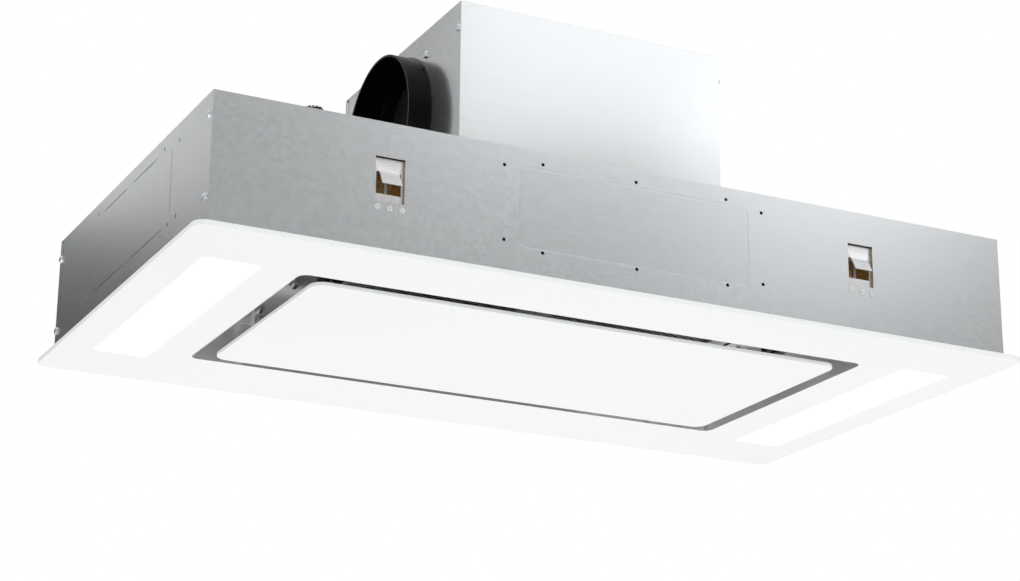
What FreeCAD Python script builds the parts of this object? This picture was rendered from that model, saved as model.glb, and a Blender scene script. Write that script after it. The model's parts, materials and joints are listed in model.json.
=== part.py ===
import FreeCAD, Part
import math
import os
import re
import Sketcher

# Ceiling range hood, in millimetres. +Z is up, +X runs along the long side, the front long side
# faces -Y and the duct leaves towards -X. Z = 0 is the suction panel's underside, which stands a
# little proud of the white glass; X = Y = 0 is the middle of the glass.

SIZES = {
    # white glass and its suction aperture
    "GlassLength": 900, "GlassWidth": 500, "GlassThickness": 5, "GlassCorner": 12,
    "ApertureMarginX": 137.5, "ApertureMarginY": 95.5, "ApertureCorner": 10,
    "ApertureShiftX": -3.5, "ApertureShiftY": -7.5, "ApertureClearance": 0.3,
    # suction panel: glass, carrier, catch studs
    "PanelProud": 2, "PanelThickness": 4, "PanelCorner": 14, "PanelGapX": 20, "PanelGapY": 16,
    "CarrierSheet": 1.2, "CarrierRim": 8,
    "CarrierInsetEnd": 28, "CarrierInsetFront": 33, "CarrierInsetRear": 19,
    "StudRadius": 3, "StudInCatch": 7,
    # hinge of the suction panel
    "HingeInset": 42.5, "HingeSetback": 9, "HingeRise": 14, "HingePinRadius": 2, "HingePinEnd": 1,
    "HingeClearance": 0.05, "KnuckleRadius": 6, "LugThickness": 3, "LugReach": 30,
    "EarThickness": 2, "EarGap": 0.3, "HingeFoot": 2, "HingeFootDepth": 18,
    # catches of the suction panel
    "CatchInset": 39.5, "CatchSetback": 57, "CatchLength": 24, "CatchWidth": 16, "CatchHeight": 22,
    "CatchBore": 4.2, "CatchBoreDepth": 9,
    # suction tray and its dome screws
    "TraySheet": 0.8, "TrayFlange": 12, "ChamberHeight": 46,
    "FilterOpeningMarginX": 4.5, "FilterOpeningMarginY": 4,
    "DomeInset": 53, "DomeInsetY": 58.5, "DomeRadius": 5.3, "DomeHeight": 8, "DomeShankRadius": 2,
    "DomeShankLength": 9, "DomeNutRadius": 4.5, "DomeNutHeight": 4,
    # grease filters
    "FilterEndMargin": 83, "FilterSideMargin": 27.5, "FilterThickness": 9, "FilterBorder": 19,
    "FilterGap": 1, "MeshThickness": 5, "MeshLift": 1,
    "TabLength": 9, "TabWidth": 20, "TabThickness": 1.5, "TabLift": 0.2, "TabSpacing": 120,
    "LatchWidth": 40, "LatchDepth": 16, "LatchThickness": 1.5, "LatchReach": 8, "LatchTravel": 8,
    "LatchClearance": 0.2, "FingerWidth": 16, "FingerThickness": 2, "FingerDrop": 4,
    # chassis
    "GlassOverhang": 15, "ChassisHeight": 130, "WallSheet": 1.2, "BaseSheet": 1.2, "BaseGap": 1,
    "TopFlange": 15, "BottomFlange": 12, "CornerFlange": 22, "FlangeGap": 0.2,
    "RearReturn": 10, "SeamGap": 1.6, "LipLap": 6, "ReturnChamfer": 6,
    "DuctHoleRadius": 1.75, "ScoreWidth": 0.6, "ScoreDepth": 0.2, "ScoreCorner": 6,
    "CornerScrewInset": 9.5, "CornerScrewLow": 29.5, "CornerScrewHigh": 109,
    "RearScrewInset": 5, "ScrewHeadRadius": 4, "ScrewHeadHeight": 2, "ScrewShankRadius": 1.5,
    "ScrewShankLength": 4, "ScrewClearance": 0.1,
    # lamps
    "LampInset": 65, "LampWidth": 54, "LampLength": 330, "DiffuserThickness": 2,
    "LampHousingHeight": 14, "LampHousingMargin": 6, "LampSheet": 1, "LampStripWidth": 16,
    "LampStripThickness": 1.4, "DiffuserClearance": 0.3,
    # ceiling clamps
    "ClampInset": 189.65, "WindowLength": 29.7, "WindowHeight": 44, "WindowRise": 51.6,
    "BracketSheet": 1.5, "BracketWidth": 35, "BracketDepth": 20.5, "BracketRise": 33,
    "BracketHeight": 78.5, "BracketTabTop": 50,
    "FixingSpacing": 12.5, "FixingRise": 45.3, "FixingHeadRadius": 2.8, "FixingHeadHeight": 1.6,
    "FixingShankRadius": 1.3, "FixingShankLength": 3,
    "CarriageSheet": 1.5, "CarriageDepth": 3.5, "CarriageGap": 0.3, "CarriageRise": 49,
    "CarriageHeight": 46, "CarriageOpeningWidth": 25, "CarriageOpeningRise": 60,
    "CarriageOpeningHeight": 21.5, "TongueWidth": 20, "TongueDrop": 14.3, "TongueReach": 9.6,
    "TongueKneeDrop": 4, "TongueKneeReach": 4, "TongueKneeBack": 0.45, "TongueRootBack": 0.9,
    "NutWidth": 14, "NutHeight": 10, "NutRise": 83,
    "ClampScrewRadius": 2.5, "ClampScrewDepth": 12, "ClampScrewClearance": 0.1,
    "ClampScrewHeadRadius": 4.5, "ClampScrewHeadHeight": 4, "ClampScrewEnd": 2,
    # motor box
    "BoxLength": 300, "BoxWidth": 296, "BoxTop": 322, "BoxSheet": 1.2, "BoxFoot": 12,
    "BoxReturn": 8.5, "BoxSeam": 1.2, "BoxLipLap": 5, "BoxChamfer": 5, "LidFlange": 10,
    "LidTabDepth": 32, "LidTabWidth": 11, "LidTabScrewInset": 4.1, "LidTabScrewDrop": 28,
    "RearScrewLow": 40, "RearScrewHigh": 160, "BoxRearScrewInset": 4,
    "PlenumLength": 280, "PlenumWidth": 276,
    # outlet collar and non-return flaps
    "CollarRadius": 80.5, "CollarBaseRadius": 81.7, "CollarBaseLength": 4, "CollarLength": 25,
    "CollarBore": 76, "CollarMouthBore": 78.3, "CollarSeat": 9, "CollarSeatSlope": 2.3,
    "CollarSpigotRadius": 79.7, "CollarHole": 80, "CollarFlangeHalf": 81,
    "CollarFlangeThickness": 2, "CollarScrewSpread": 65.7,
    "FlapPinInset": 20, "FlapPinRadius": 2, "FlapPinHalf": 79, "FlapPinClearance": 0.05,
    "FlapRadius": 74.5, "FlapThickness": 1.5, "FlapChord": 4.2, "FlapSleeveRadius": 3.5,
    "FlapSleeveBore": 2.1, "FlapSleeveLength": 38, "FlapSleeveGap": 2,
    # fan
    "FanX": 45, "FanZ": 229, "VoluteWidth": 150, "VoluteSheet": 1.2, "VoluteFirstRadius": 72,
    "VoluteStep": 7, "VoluteMouthInset": 34, "VoluteMouthLow": 73, "VoluteMouthHigh": 75,
    "VolutePlateRight": 93, "VolutePlateTop": 90.9, "VolutePlateBottom": 91,
    "InletRadius": 57, "InletLip": 15, "OutletPlate": 1.5, "OutletHole": 74,
    "RailHeight": 26, "RailDepth": 24, "RailSheet": 1.2, "RailEndGap": 0.3,
    "ImpellerRadius": 65, "ImpellerInner": 54, "ImpellerWidth": 112, "ImpellerDisc": 2,
    "ImpellerRim": 3, "BladeCount": 30, "BladeThickness": 1.6, "BladeRake": 4,
    "HubRadius": 12, "HubLength": 22, "ShaftRadius": 4, "ShaftEnd": 2, "ShaftInMotor": 12,
    "ShaftClearance": 0.05, "MotorRadius": 42, "MotorGap": 2, "MotorLength": 70, "MotorNeck": 20,
    "MotorBore": 4.1, "SpiderThickness": 2, "SpiderHub": 24, "SpiderArmWidth": 12,
    "MountSpread": 70, "MountRadius": 6, "MountHeight": 3,
    "CapacitorRadius": 16, "CapacitorLength": 58, "CapacitorX": -85, "CapacitorZ": 283,
    # controls
    "ControlInsetX": 95, "ControlInsetY": 60, "ControlLength": 110, "ControlWidth": 80,
    "ControlHeight": 40, "ControlSheet": 1.5, "BoardThickness": 1.6, "BoardInset": 8,
    "BossRadius": 3, "BossLength": 20, "BossInset": 14,
    "GlandInsetX": 110, "GlandInsetY": 35, "GlandRadius": 8, "GlandFlange": 10, "GlandFlangeHeight": 5,
    "GlandDomeRadius": 7.5, "GlandHeight": 16.2, "GlandBore": 4, "GlandBelow": 8,
}

DERIVED = {
    "GlassTop": "PanelProud + GlassThickness",
    "ChassisTop": "GlassTop + ChassisHeight",
    "ChassisX": "GlassLength / 2 - GlassOverhang",
    "ChassisY": "GlassWidth / 2 - GlassOverhang",
    "InnerX": "ChassisX - WallSheet",
    "InnerY": "ChassisY - WallSheet",
    "BaseTop": "GlassTop + BaseSheet",
    "RoofTop": "ChassisTop - WallSheet",
    "RoofBottom": "RoofTop - WallSheet",
    "FlangeLow": "BaseTop + WallSheet + FlangeGap",
    "FlangeHigh": "RoofTop - FlangeGap",
    "ApertureX": "GlassLength / 2 - ApertureMarginX",
    "ApertureY": "GlassWidth / 2 - ApertureMarginY",
    "LampOffset": "GlassLength / 2 - LampInset",
    "ClampOffset": "GlassLength / 2 - ClampInset",
    "DomeSpacing": "ApertureY - DomeInsetY",
    "TrayX": "ApertureX + TraySheet",
    "TrayY": "ApertureY + TraySheet",
    "LedgeZ": "PanelProud + ChamberHeight",
    "LedgeTop": "LedgeZ + TraySheet",
    "DomeX": "ApertureX - DomeInset",
    "PanelX": "ApertureX - PanelGapX",
    "PanelY": "ApertureY - PanelGapY",
    "CarrierX": "PanelX - CarrierInsetEnd",
    "CarrierFront": "-PanelY + CarrierInsetFront",
    "CarrierRear": "PanelY - CarrierInsetRear",
    "CarrierFloor": "PanelThickness + CarrierSheet",
    "HingeOffset": "PanelX - HingeInset",
    "HingeY": "PanelY - HingeSetback",
    "EarInner": "LugThickness / 2 + EarGap",
    "EarOuter": "EarInner + EarThickness",
    "CatchOffset": "PanelX - CatchInset",
    "CatchY": "-PanelY + CatchSetback",
    "CatchBottom": "LedgeZ - CatchHeight",
    "FilterLength": "ApertureX - FilterGap / 2 - FilterEndMargin",
    "FilterX": "(FilterLength + FilterGap) / 2",
    "FilterY": "ApertureY - FilterSideMargin",
    "FilterOpeningX": "FilterLength + FilterGap / 2 + FilterOpeningMarginX",
    "FilterOpeningY": "FilterY + FilterOpeningMarginY",
    "TabZ": "LedgeTop + TabLift",
    "LatchY": "-FilterY - LatchReach",
    "WindowZ": "GlassTop + WindowRise",
    "ClampZ": "GlassTop + BracketRise",
    "ClampTop": "ClampZ + BracketHeight",
    "PlateLow": "GlassTop + CarriageRise",
    "TongueRoot": "GlassTop + CarriageOpeningRise + CarriageOpeningHeight",
    "NutZ": "GlassTop + NutRise",
    "BoxX": "BoxLength / 2",
    "BoxY": "BoxWidth / 2",
    "BoxInnerX": "BoxX - BoxSheet",
    "BoxInnerY": "BoxY - BoxSheet",
    "LidBottom": "BoxTop - BoxSheet",
    "MouthX": "-BoxX + VoluteMouthInset",
    "VoluteY": "VoluteWidth / 2",
    "VoluteOuterY": "VoluteY + VoluteSheet",
    "MotorFront": "ImpellerDisc / 2 + MotorGap",
    "MotorRear": "MotorFront + MotorLength",
    "SpiderY": "VoluteOuterY + MountHeight",
    "ControlX": "-ChassisX + ControlInsetX",
    "ControlY": "-ChassisY + ControlInsetY",
    "GlandX": "-ChassisX + GlandInsetX",
    "GlandY": "-ChassisY + GlandInsetY",
    "ControlBottom": "RoofBottom - ControlHeight",
    "LampTop": "BaseTop + LampHousingHeight",
}
# Small holes about the duct knock-outs, as (along the wall, height above the glass).
LONG_WALL_HOLES = [(143, 110), (143, 35), (102, 117.2), (0, 117.2), (102, 28), (0, 28)]
SIDE_WALL_HOLES = [(145, 112.5), (145, 37.5), (102, 118.5), (0, 30.6), (102, 30.6), (123, 36.3)]
# Slits of the side knock-outs, as (y from, y to, height from, height to) above the glass.
SIDE_SLITS = [(-126, -125.2, 47, 111), (125.2, 126, 47, 111), (-82, -10, 115, 115.8),
              (10, 82, 115, 115.8), (-105, -12, 36, 36.8), (12, 105, 36, 36.8)]
# Scored duct outline of the long walls: half length, half height, and its middle above the glass.
SCORE_HALF_X, SCORE_HALF_Z, SCORE_MIDDLE = 127, 40.5, 71.5
# Dome screw's outline from its crown to its rim, as shares of its radius and of its height.
DOME_PROFILE = [(0, 1), (0.5, 0.9), (0.85, 0.6), (1, 0.25), (1, 0)]
# Pan head: the height of its upright rim and the radius of its flat crown, as shares of the head.
PAN_RIM, PAN_CROWN = 0.45, 0.7
# Cable gland: where its dome starts to draw in, and how far, as a share.
GLAND_SHOULDER = 0.75
# Hinge lug's corners on its knuckle, as shares of the knuckle's radius.
LUG_REAR, LUG_TOP, LUG_FRONT = ("0.6", "-0.8"), ("0", "0.9"), ("-1", "0.3")
# A pocket has to take at least this much away, in cubic millimetres.
LEAST_CUT = 1e-6

doc = FreeCAD.newDocument("CeilingHood")
sheet = doc.addObject("Spreadsheet::Sheet", "Sizes")
for row, (alias, number) in enumerate(SIZES.items(), 1):
    sheet.set(f"A{row}", alias)
    sheet.set(f"B{row}", str(number))
    sheet.setAlias(f"B{row}", alias)
doc.recompute()
sub_parts = []
X_AXIS, Y_AXIS, Z_AXIS = FreeCAD.Vector(1, 0, 0), FreeCAD.Vector(0, 1, 0), FreeCAD.Vector(0, 0, 1)


def bound(text):
    """Write an expression over names of sizes and derived lengths as one over the sheet's cells."""
    def cell(match):
        word = match.group(0)
        if word in SIZES:
            return f"Sizes.{word}"
        return f"({bound(DERIVED[word])})" if word in DERIVED else word
    return re.sub(r"[A-Za-z]\w*", cell, str(text))


def value(text):
    """Work an expression out as a plain number."""
    return float(sheet.evalExpression(bound(text)))


def place(target, at, turn=None):
    """Bind an object's position to the sheet, after turning it by (axis, degrees)."""
    if turn:
        target.Placement = FreeCAD.Placement(FreeCAD.Vector(), FreeCAD.Rotation(*turn))
    for axis, text in zip("xyz", at):
        target.setExpression(f"Placement.Base.{axis}", bound(text))


def polygon(*points):
    """A closed outline of straight sides through bound points."""
    def draw(sketch):
        first = sketch.GeometryCount
        spots = [FreeCAD.Vector(value(x), value(y), 0) for x, y in points]
        count = len(spots)
        for number, spot in enumerate(spots):
            sketch.addGeometry(Part.LineSegment(spot, spots[(number + 1) % count]))
        for number, point in enumerate(points):
            line = first + number
            sketch.addConstraint(Sketcher.Constraint(
                "Coincident", line, 2, first + (number + 1) % count, 1))
            for kind, text in zip(("DistanceX", "DistanceY"), point):
                index = sketch.addConstraint(Sketcher.Constraint(kind, -1, 1, line, 1, value(text)))
                sketch.setExpression(f"Constraints[{index}]", bound(text))
    return draw


def rectangle(left, right, low, high):
    """A closed rectangle between bound sides."""
    return polygon((left, low), (right, low), (right, high), (left, high))


def circle(x, y, radius):
    """A circle with bound centre and radius."""
    def draw(sketch):
        centre = FreeCAD.Vector(value(x), value(y), 0)
        ring = sketch.addGeometry(Part.Circle(centre, Z_AXIS, value(radius)))
        for kind, text in (("DistanceX", x), ("DistanceY", y)):
            index = sketch.addConstraint(Sketcher.Constraint(kind, -1, 1, ring, 3, value(text)))
            sketch.setExpression(f"Constraints[{index}]", bound(text))
        index = sketch.addConstraint(Sketcher.Constraint("Radius", ring, value(radius)))
        sketch.setExpression(f"Constraints[{index}]", bound(radius))
    return draw


def rounded(x, y, half_x, half_y, radius):
    """A rectangle about a bound centre, with its corners rounded."""
    def draw(sketch):
        first = sketch.GeometryCount
        turn = [(1, 1), (-1, 1), (-1, -1), (1, -1)]
        reach = value(radius)
        centres = [(f"{x} + {sx} * ({half_x} - ({radius}))", f"{y} + {sy} * ({half_y} - ({radius}))")
                   for sx, sy in turn]
        spots = [FreeCAD.Vector(value(across), value(up), 0) for across, up in centres]
        for number, spot in enumerate(spots):
            ring = Part.Circle(spot, Z_AXIS, reach)
            sketch.addGeometry(Part.ArcOfCircle(ring, math.pi / 2 * number, math.pi / 2 * (number + 1)))
        for number, spot in enumerate(spots):
            out = FreeCAD.Vector(0, reach, 0) if number % 2 == 0 else FreeCAD.Vector(reach, 0, 0)
            out = out * (1 if number in (0, 3) else -1)
            sketch.addGeometry(Part.LineSegment(spot + out, spots[(number + 1) % 4] + out))
        for number, centre in enumerate(centres):
            arc, line = first + number, first + 4 + number
            sketch.addConstraint(Sketcher.Constraint("Tangent", arc, 2, line, 1))
            sketch.addConstraint(Sketcher.Constraint("Tangent", line, 2, first + (number + 1) % 4, 1))
            for kind, text in zip(("DistanceX", "DistanceY"), centre):
                index = sketch.addConstraint(Sketcher.Constraint(kind, -1, 1, arc, 3, value(text)))
                sketch.setExpression(f"Constraints[{index}]", bound(text))
            index = sketch.addConstraint(Sketcher.Constraint("Radius", arc, reach))
            sketch.setExpression(f"Constraints[{index}]", bound(radius))
    return draw


def half_disc(side, chord, radius):
    """The part of a disc about the sketch's origin that lies beyond a chord, on one side (+1, -1)."""
    def draw(sketch):
        reach, chord_x = value(radius), side * value(chord)
        rise = (reach ** 2 - chord_x ** 2) ** 0.5
        top, bottom = FreeCAD.Vector(chord_x, rise, 0), FreeCAD.Vector(chord_x, -rise, 0)
        start, end = (bottom, top) if side > 0 else (top, bottom)
        arc = sketch.addGeometry(Part.Arc(start, FreeCAD.Vector(side * reach, 0, 0), end))
        line = sketch.addGeometry(Part.LineSegment(end, start))
        sketch.addConstraint(Sketcher.Constraint("Coincident", arc, 2, line, 1))
        sketch.addConstraint(Sketcher.Constraint("Coincident", line, 2, arc, 1))
        sketch.addConstraint(Sketcher.Constraint("Coincident", arc, 3, -1, 1))
        sketch.addConstraint(Sketcher.Constraint("Vertical", line))
        for constraint, text in (
                (Sketcher.Constraint("Radius", arc, reach), radius),
                (Sketcher.Constraint("DistanceX", -1, 1, line, 1, chord_x), f"{side} * {chord}")):
            index = sketch.addConstraint(constraint)
            sketch.setExpression(f"Constraints[{index}]", bound(text))
    return draw


class Piece:
    """A sub-part made of sketched features in its own frame."""

    def __init__(self, name, at=("0", "0", "0"), turn=None, keep=True):
        self.body = doc.addObject("PartDesign::Body", name)
        self.body.Label = name
        place(self.body, at, turn)
        if keep:
            sub_parts.append(self.body)

    def origin(self, role):
        return next(item for item in self.body.Origin.OriginFeatures if item.Role == role)

    def sketch(self, plane, level, outlines):
        """Sketch outlines on an origin plane, moved along that plane's axis to a level."""
        sketch = self.body.newObject("Sketcher::SketchObject", f"{self.body.Label}_sketch")
        sketch.AttachmentSupport = [(self.origin(plane), "")]
        sketch.MapMode = "FlatFace"
        sign = -1 if plane == "XZ_Plane" else 1
        sketch.setExpression("AttachmentOffset.Base.z", bound(f"{sign} * ({level})"))
        for outline in outlines:
            outline(sketch)
        return sketch

    def _extrude(self, kind, plane, start, depth, outlines):
        profile = self.sketch(plane, start, outlines)
        feature = self.body.newObject(kind, f"{self.body.Label}_{kind.split('::')[1].lower()}")
        feature.Profile = profile
        feature.Reversed = (kind == "PartDesign::Pad") == (plane == "XZ_Plane")
        feature.setExpression("Length", bound(depth))
        return feature

    def pad(self, plane, start, depth, *outlines):
        """Add material from a level towards the plane's positive axis."""
        return self._extrude("PartDesign::Pad", plane, start, depth, outlines)

    def pocket(self, plane, start, depth, *outlines):
        """Cut from a level towards the plane's positive axis."""
        return self._extrude("PartDesign::Pocket", plane, start, depth, outlines)

    def revolve(self, plane, axis, *outlines):
        """Turn outlines once round the sketch's own H_Axis or V_Axis."""
        feature = self.body.newObject("PartDesign::Revolution", f"{self.body.Label}_revolution")
        feature.Profile = self.sketch(plane, "0", outlines)
        feature.ReferenceAxis = (feature.Profile[0], [axis])
        feature.Angle = 360
        return feature


def centred(half_x, half_y):
    """A rectangle about the sketch's origin."""
    return rectangle(f"-({half_x})", half_x, f"-({half_y})", half_y)


def block(name, left, right, front, rear, low, high):
    """A plain box between bound faces."""
    box = doc.addObject("Part::Box", name)
    place(box, (left, front, low))
    for side, start, end in (("Length", left, right), ("Width", front, rear), ("Height", low, high)):
        box.setExpression(side, bound(f"({end}) - ({start})"))
    return box


def rod(name, at, radius, length, turn=None):
    """A plain cylinder that runs up from its place, or along its turned axis."""
    cylinder = doc.addObject("Part::Cylinder", name)
    place(cylinder, at, turn)
    cylinder.setExpression("Radius", bound(radius))
    cylinder.setExpression("Height", bound(length))
    return cylinder


def group(name, members):
    """One sub-part of several separate solids."""
    compound = doc.addObject("Part::Compound", name)
    compound.Label = name
    compound.Links = members
    sub_parts.append(compound)
    return compound


def link_to(master, spot):
    """A copy of a master piece at (x, y, z, turn)."""
    link = doc.addObject("App::Link", f"{master.Label}_copy")
    link.LinkedObject = master
    place(link, spot[:3], spot[3])
    return link


def copies(name, master, spots):
    """Set copies of a master piece and keep them as one sub-part."""
    return group(name, [link_to(master, spot) for spot in spots])


APERTURE = ("ApertureShiftX", "ApertureShiftY", "0")
FACING_RIGHT, FACING_LEFT = (Y_AXIS, 90), (Y_AXIS, -90)
FACING_FRONT, FACING_REAR = (X_AXIS, 90), (X_AXIS, -90)


def make_glass():
    glass = Piece("glass_panel")
    glass.pad("XY_Plane", "PanelProud", "GlassThickness",
              rounded("0", "0", "GlassLength / 2", "GlassWidth / 2", "GlassCorner"),
              rounded("ApertureShiftX", "ApertureShiftY", "TrayX + ApertureClearance",
                      "TrayY + ApertureClearance", "ApertureCorner + TraySheet + ApertureClearance"))


def make_base_frame():
    """The ring plate that lies on the glass inside the walls, with the lamp openings."""
    base = Piece("base_frame")
    hole_x, hole_y = "(TrayX + BaseGap)", "(TrayY + BaseGap)"
    lamps = [rectangle(f"{s} * LampOffset - LampWidth / 2", f"{s} * LampOffset + LampWidth / 2",
                       "-LampLength / 2", "LampLength / 2") for s in (-1, 1)]
    base.pad("XY_Plane", "GlassTop", "BaseSheet", centred("InnerX", "InnerY"), *lamps,
             rectangle(f"ApertureShiftX - {hole_x}", f"ApertureShiftX + {hole_x}",
                       f"ApertureShiftY - {hole_y}", f"ApertureShiftY + {hole_y}"))


def make_tray():
    """The polished tray: aperture walls, the ledge with the filter opening, an outer flange."""
    tray = Piece("suction_tray", APERTURE)
    outer = rounded("0", "0", "TrayX", "TrayY", "ApertureCorner + TraySheet")
    inner = rounded("0", "0", "ApertureX", "ApertureY", "ApertureCorner")
    tray.pad("XY_Plane", "PanelProud", "LedgeTop - PanelProud", outer)
    tray.pocket("XY_Plane", "PanelProud", "ChamberHeight", inner)
    domes = [circle(f"{s} * DomeX", f"{n} * DomeSpacing", "DomeShankRadius + ScrewClearance")
             for s in (-1, 1) for n in (-1, 0, 1)]
    tray.pocket("XY_Plane", "LedgeZ", "TraySheet",
                centred("FilterOpeningX", "FilterOpeningY"), *domes)
    tray.pad("XY_Plane", "BaseTop", "TraySheet", centred("TrayX + TrayFlange", "TrayY + TrayFlange"),
             rounded("0", "0", "ApertureX + TraySheet / 2", "ApertureY + TraySheet / 2", "ApertureCorner"))


def make_dome_screws():
    """Dome screws under the ledge, each with its nut above."""
    screw = Piece("dome_screw", keep=False)
    dome = [(f"DomeRadius * {across}", f"-DomeHeight * {down}") for across, down in DOME_PROFILE]
    screw.revolve("XZ_Plane", "V_Axis", polygon(
        *dome, ("DomeShankRadius", "0"), ("DomeShankRadius", "DomeShankLength"),
        ("0", "DomeShankLength")))
    nut = Piece("dome_nut", keep=False)
    nut.pad("XY_Plane", "TraySheet", "DomeNutHeight", circle("0", "0", "DomeNutRadius"),
            circle("0", "0", "DomeShankRadius + ScrewClearance / 2"))
    spots = [(f"ApertureShiftX + {s} * DomeX", f"ApertureShiftY + {n} * DomeSpacing", "LedgeZ", None)
             for s in (-1, 1) for n in (-1, 0, 1)]
    group("tray_screws", [link_to(master, spot) for master in (screw.body, nut.body) for spot in spots])


def make_long_wall(name, at, turn, rear):
    """Front or rear wall, seen from outside: outer face at Y = 0, inside towards +Y."""
    wall = Piece(name, at, turn)
    wall.pad("YZ_Plane", "-ChassisX", "2 * ChassisX", polygon(
        ("0", "GlassTop"), ("WallSheet", "GlassTop"), ("WallSheet", "RoofTop"),
        ("TopFlange", "RoofTop"), ("TopFlange", "ChassisTop"), ("0", "ChassisTop")))
    wall.pad("YZ_Plane", "-(InnerX - WallSheet - FlangeGap)", "2 * (InnerX - WallSheet - FlangeGap)",
             rectangle("WallSheet / 2", "WallSheet + BottomFlange", "BaseTop", "BaseTop + WallSheet"))
    for side in (-1, 1):
        if rear:
            wall.pad("YZ_Plane", "-ChassisX" if side < 0 else "InnerX", "WallSheet", polygon(
                ("WallSheet / 2", "GlassTop"), ("RearReturn", "GlassTop"),
                ("RearReturn", "RoofTop - ReturnChamfer"),
                ("RearReturn - ReturnChamfer", "RoofTop"), ("WallSheet / 2", "RoofTop")))
        else:
            wall.pad("YZ_Plane", "-InnerX" if side < 0 else "InnerX - WallSheet", "WallSheet",
                     rectangle("WallSheet / 2", "WallSheet + CornerFlange", "FlangeLow", "FlangeHigh"))
    openings = []
    for side in (-1, 1):
        middle = f"{side} * ClampOffset"
        openings.append(rectangle(f"{middle} - WindowLength / 2", f"{middle} + WindowLength / 2",
                                  "WindowZ", "WindowZ + WindowHeight"))
        for step in (-1, 0, 1):
            openings.append(circle(f"{middle} + {step} * FixingSpacing", "GlassTop + FixingRise",
                                   "FixingShankRadius + ScrewClearance"))
    for along, height in LONG_WALL_HOLES:
        for x in sorted({-along, along}):
            openings.append(circle(x, f"GlassTop + {height}", "DuctHoleRadius"))
    wall.pocket("XZ_Plane", "0", "WallSheet", *openings)
    wall.pocket("XZ_Plane", "0", "ScoreDepth",
                *[rounded("0", f"GlassTop + {SCORE_MIDDLE}", f"{SCORE_HALF_X} - {inset}",
                          f"{SCORE_HALF_Z} - {inset}", f"ScoreCorner - {inset}")
                  for inset in ("0", "ScoreWidth")])
    pierce_sides(wall, "RearScrewInset" if rear else "CornerScrewInset")


def pierce_sides(piece, y):
    """Holes of the corner screws, straight through both ends of a long wall's returns."""
    for start in ("-ChassisX", "InnerX - WallSheet"):
        piece.pocket("YZ_Plane", start, "2 * WallSheet", *[
            circle(y, f"GlassTop + {height}", "ScrewShankRadius + ScrewClearance")
            for height in ("CornerScrewLow", "CornerScrewHigh")])


def make_side_wall(name, side):
    """Left (-1) or right (+1) wall, between the long walls, with the joggled lip at its rear."""
    wall = Piece(name)
    outer = "-ChassisX" if side < 0 else "InnerX"
    inner = "-InnerX" if side < 0 else "InnerX - WallSheet"
    rear_end = "ChassisY - RearReturn - SeamGap"
    wall.pad("YZ_Plane", outer, "WallSheet", rectangle("-InnerY", rear_end, "GlassTop", "RoofTop"))
    flange_from = "-ChassisX" if side < 0 else "ChassisX - TopFlange"
    wall.pad("YZ_Plane", flange_from, "TopFlange", rectangle(
        "-ChassisY + TopFlange + FlangeGap", "ChassisY - TopFlange - FlangeGap", "RoofTop", "ChassisTop"))
    lower_from = "-InnerX" if side < 0 else "InnerX - BottomFlange"
    wall.pad("YZ_Plane", lower_from, "BottomFlange", rectangle(
        "-InnerY + BottomFlange + FlangeGap", "InnerY - BottomFlange - FlangeGap",
        "BaseTop", "BaseTop + WallSheet"))
    wall.pad("YZ_Plane", inner, "WallSheet", rectangle(
        f"{rear_end} - LipLap", "InnerY - FlangeGap", "FlangeLow", "FlangeHigh"))
    holes = [circle(y, f"GlassTop + {height}", "DuctHoleRadius")
             for along, height in SIDE_WALL_HOLES for y in sorted({-along, along})]
    slits = [rectangle(front, rear, f"GlassTop + {low}", f"GlassTop + {high}")
             for front, rear, low, high in SIDE_SLITS]
    wall.pocket("YZ_Plane", outer, "WallSheet", *holes, *slits)
    for y in ("-ChassisY + CornerScrewInset", "ChassisY - RearScrewInset"):
        wall.pocket("YZ_Plane", "-ChassisX" if side < 0 else "InnerX - WallSheet", "2 * WallSheet", *[
            circle(y, f"GlassTop + {height}", "ScrewShankRadius + ScrewClearance")
            for height in ("CornerScrewLow", "CornerScrewHigh")])


def make_roof():
    """The chassis' top, under the wall flanges: two end plates, and between them a bearer in front
    of the fan's air way and one behind it."""
    plates = []
    near, far, edge = "PlenumLength / 2 + FlangeGap", "InnerX - WallSheet - FlangeGap", "InnerY - FlangeGap"
    for side, row, column in ((-1, "front", "left"), (1, "rear", "right")):
        plate = Piece(f"end_plate_{column}", keep=False)
        left, right = (f"-({far})", f"-({near})") if side < 0 else (near, far)
        gland = [circle("GlandX", "GlandY", "GlandRadius + ScrewClearance")] if side < 0 else []
        plate.pad("XY_Plane", "RoofBottom", "WallSheet",
                  rectangle(left, right, f"-({edge})", edge), *gland)
        bearer = Piece(f"bearer_{row}", keep=False)
        front, rear = (f"-({edge})", "-PlenumWidth / 2") if side < 0 else ("PlenumWidth / 2", edge)
        bearer.pad("XY_Plane", "RoofBottom", "WallSheet",
                   rectangle("-PlenumLength / 2", "PlenumLength / 2", front, rear))
        plates += [plate.body, bearer.body]
    group("top_plate", plates)


def make_screw(name, head_radius, head_height, shank_radius, shank_length):
    """A pan-head screw along Z: its head above Z = 0, its shank below."""
    screw = Piece(name, keep=False)
    screw.revolve("XZ_Plane", "V_Axis", polygon(
        ("0", f"-{shank_length}"), (shank_radius, f"-{shank_length}"), (shank_radius, "0"),
        (head_radius, "0"), (head_radius, f"{head_height} * {PAN_RIM}"),
        (f"{head_radius} * {PAN_CROWN}", head_height), ("0", head_height)))
    return screw.body


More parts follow.
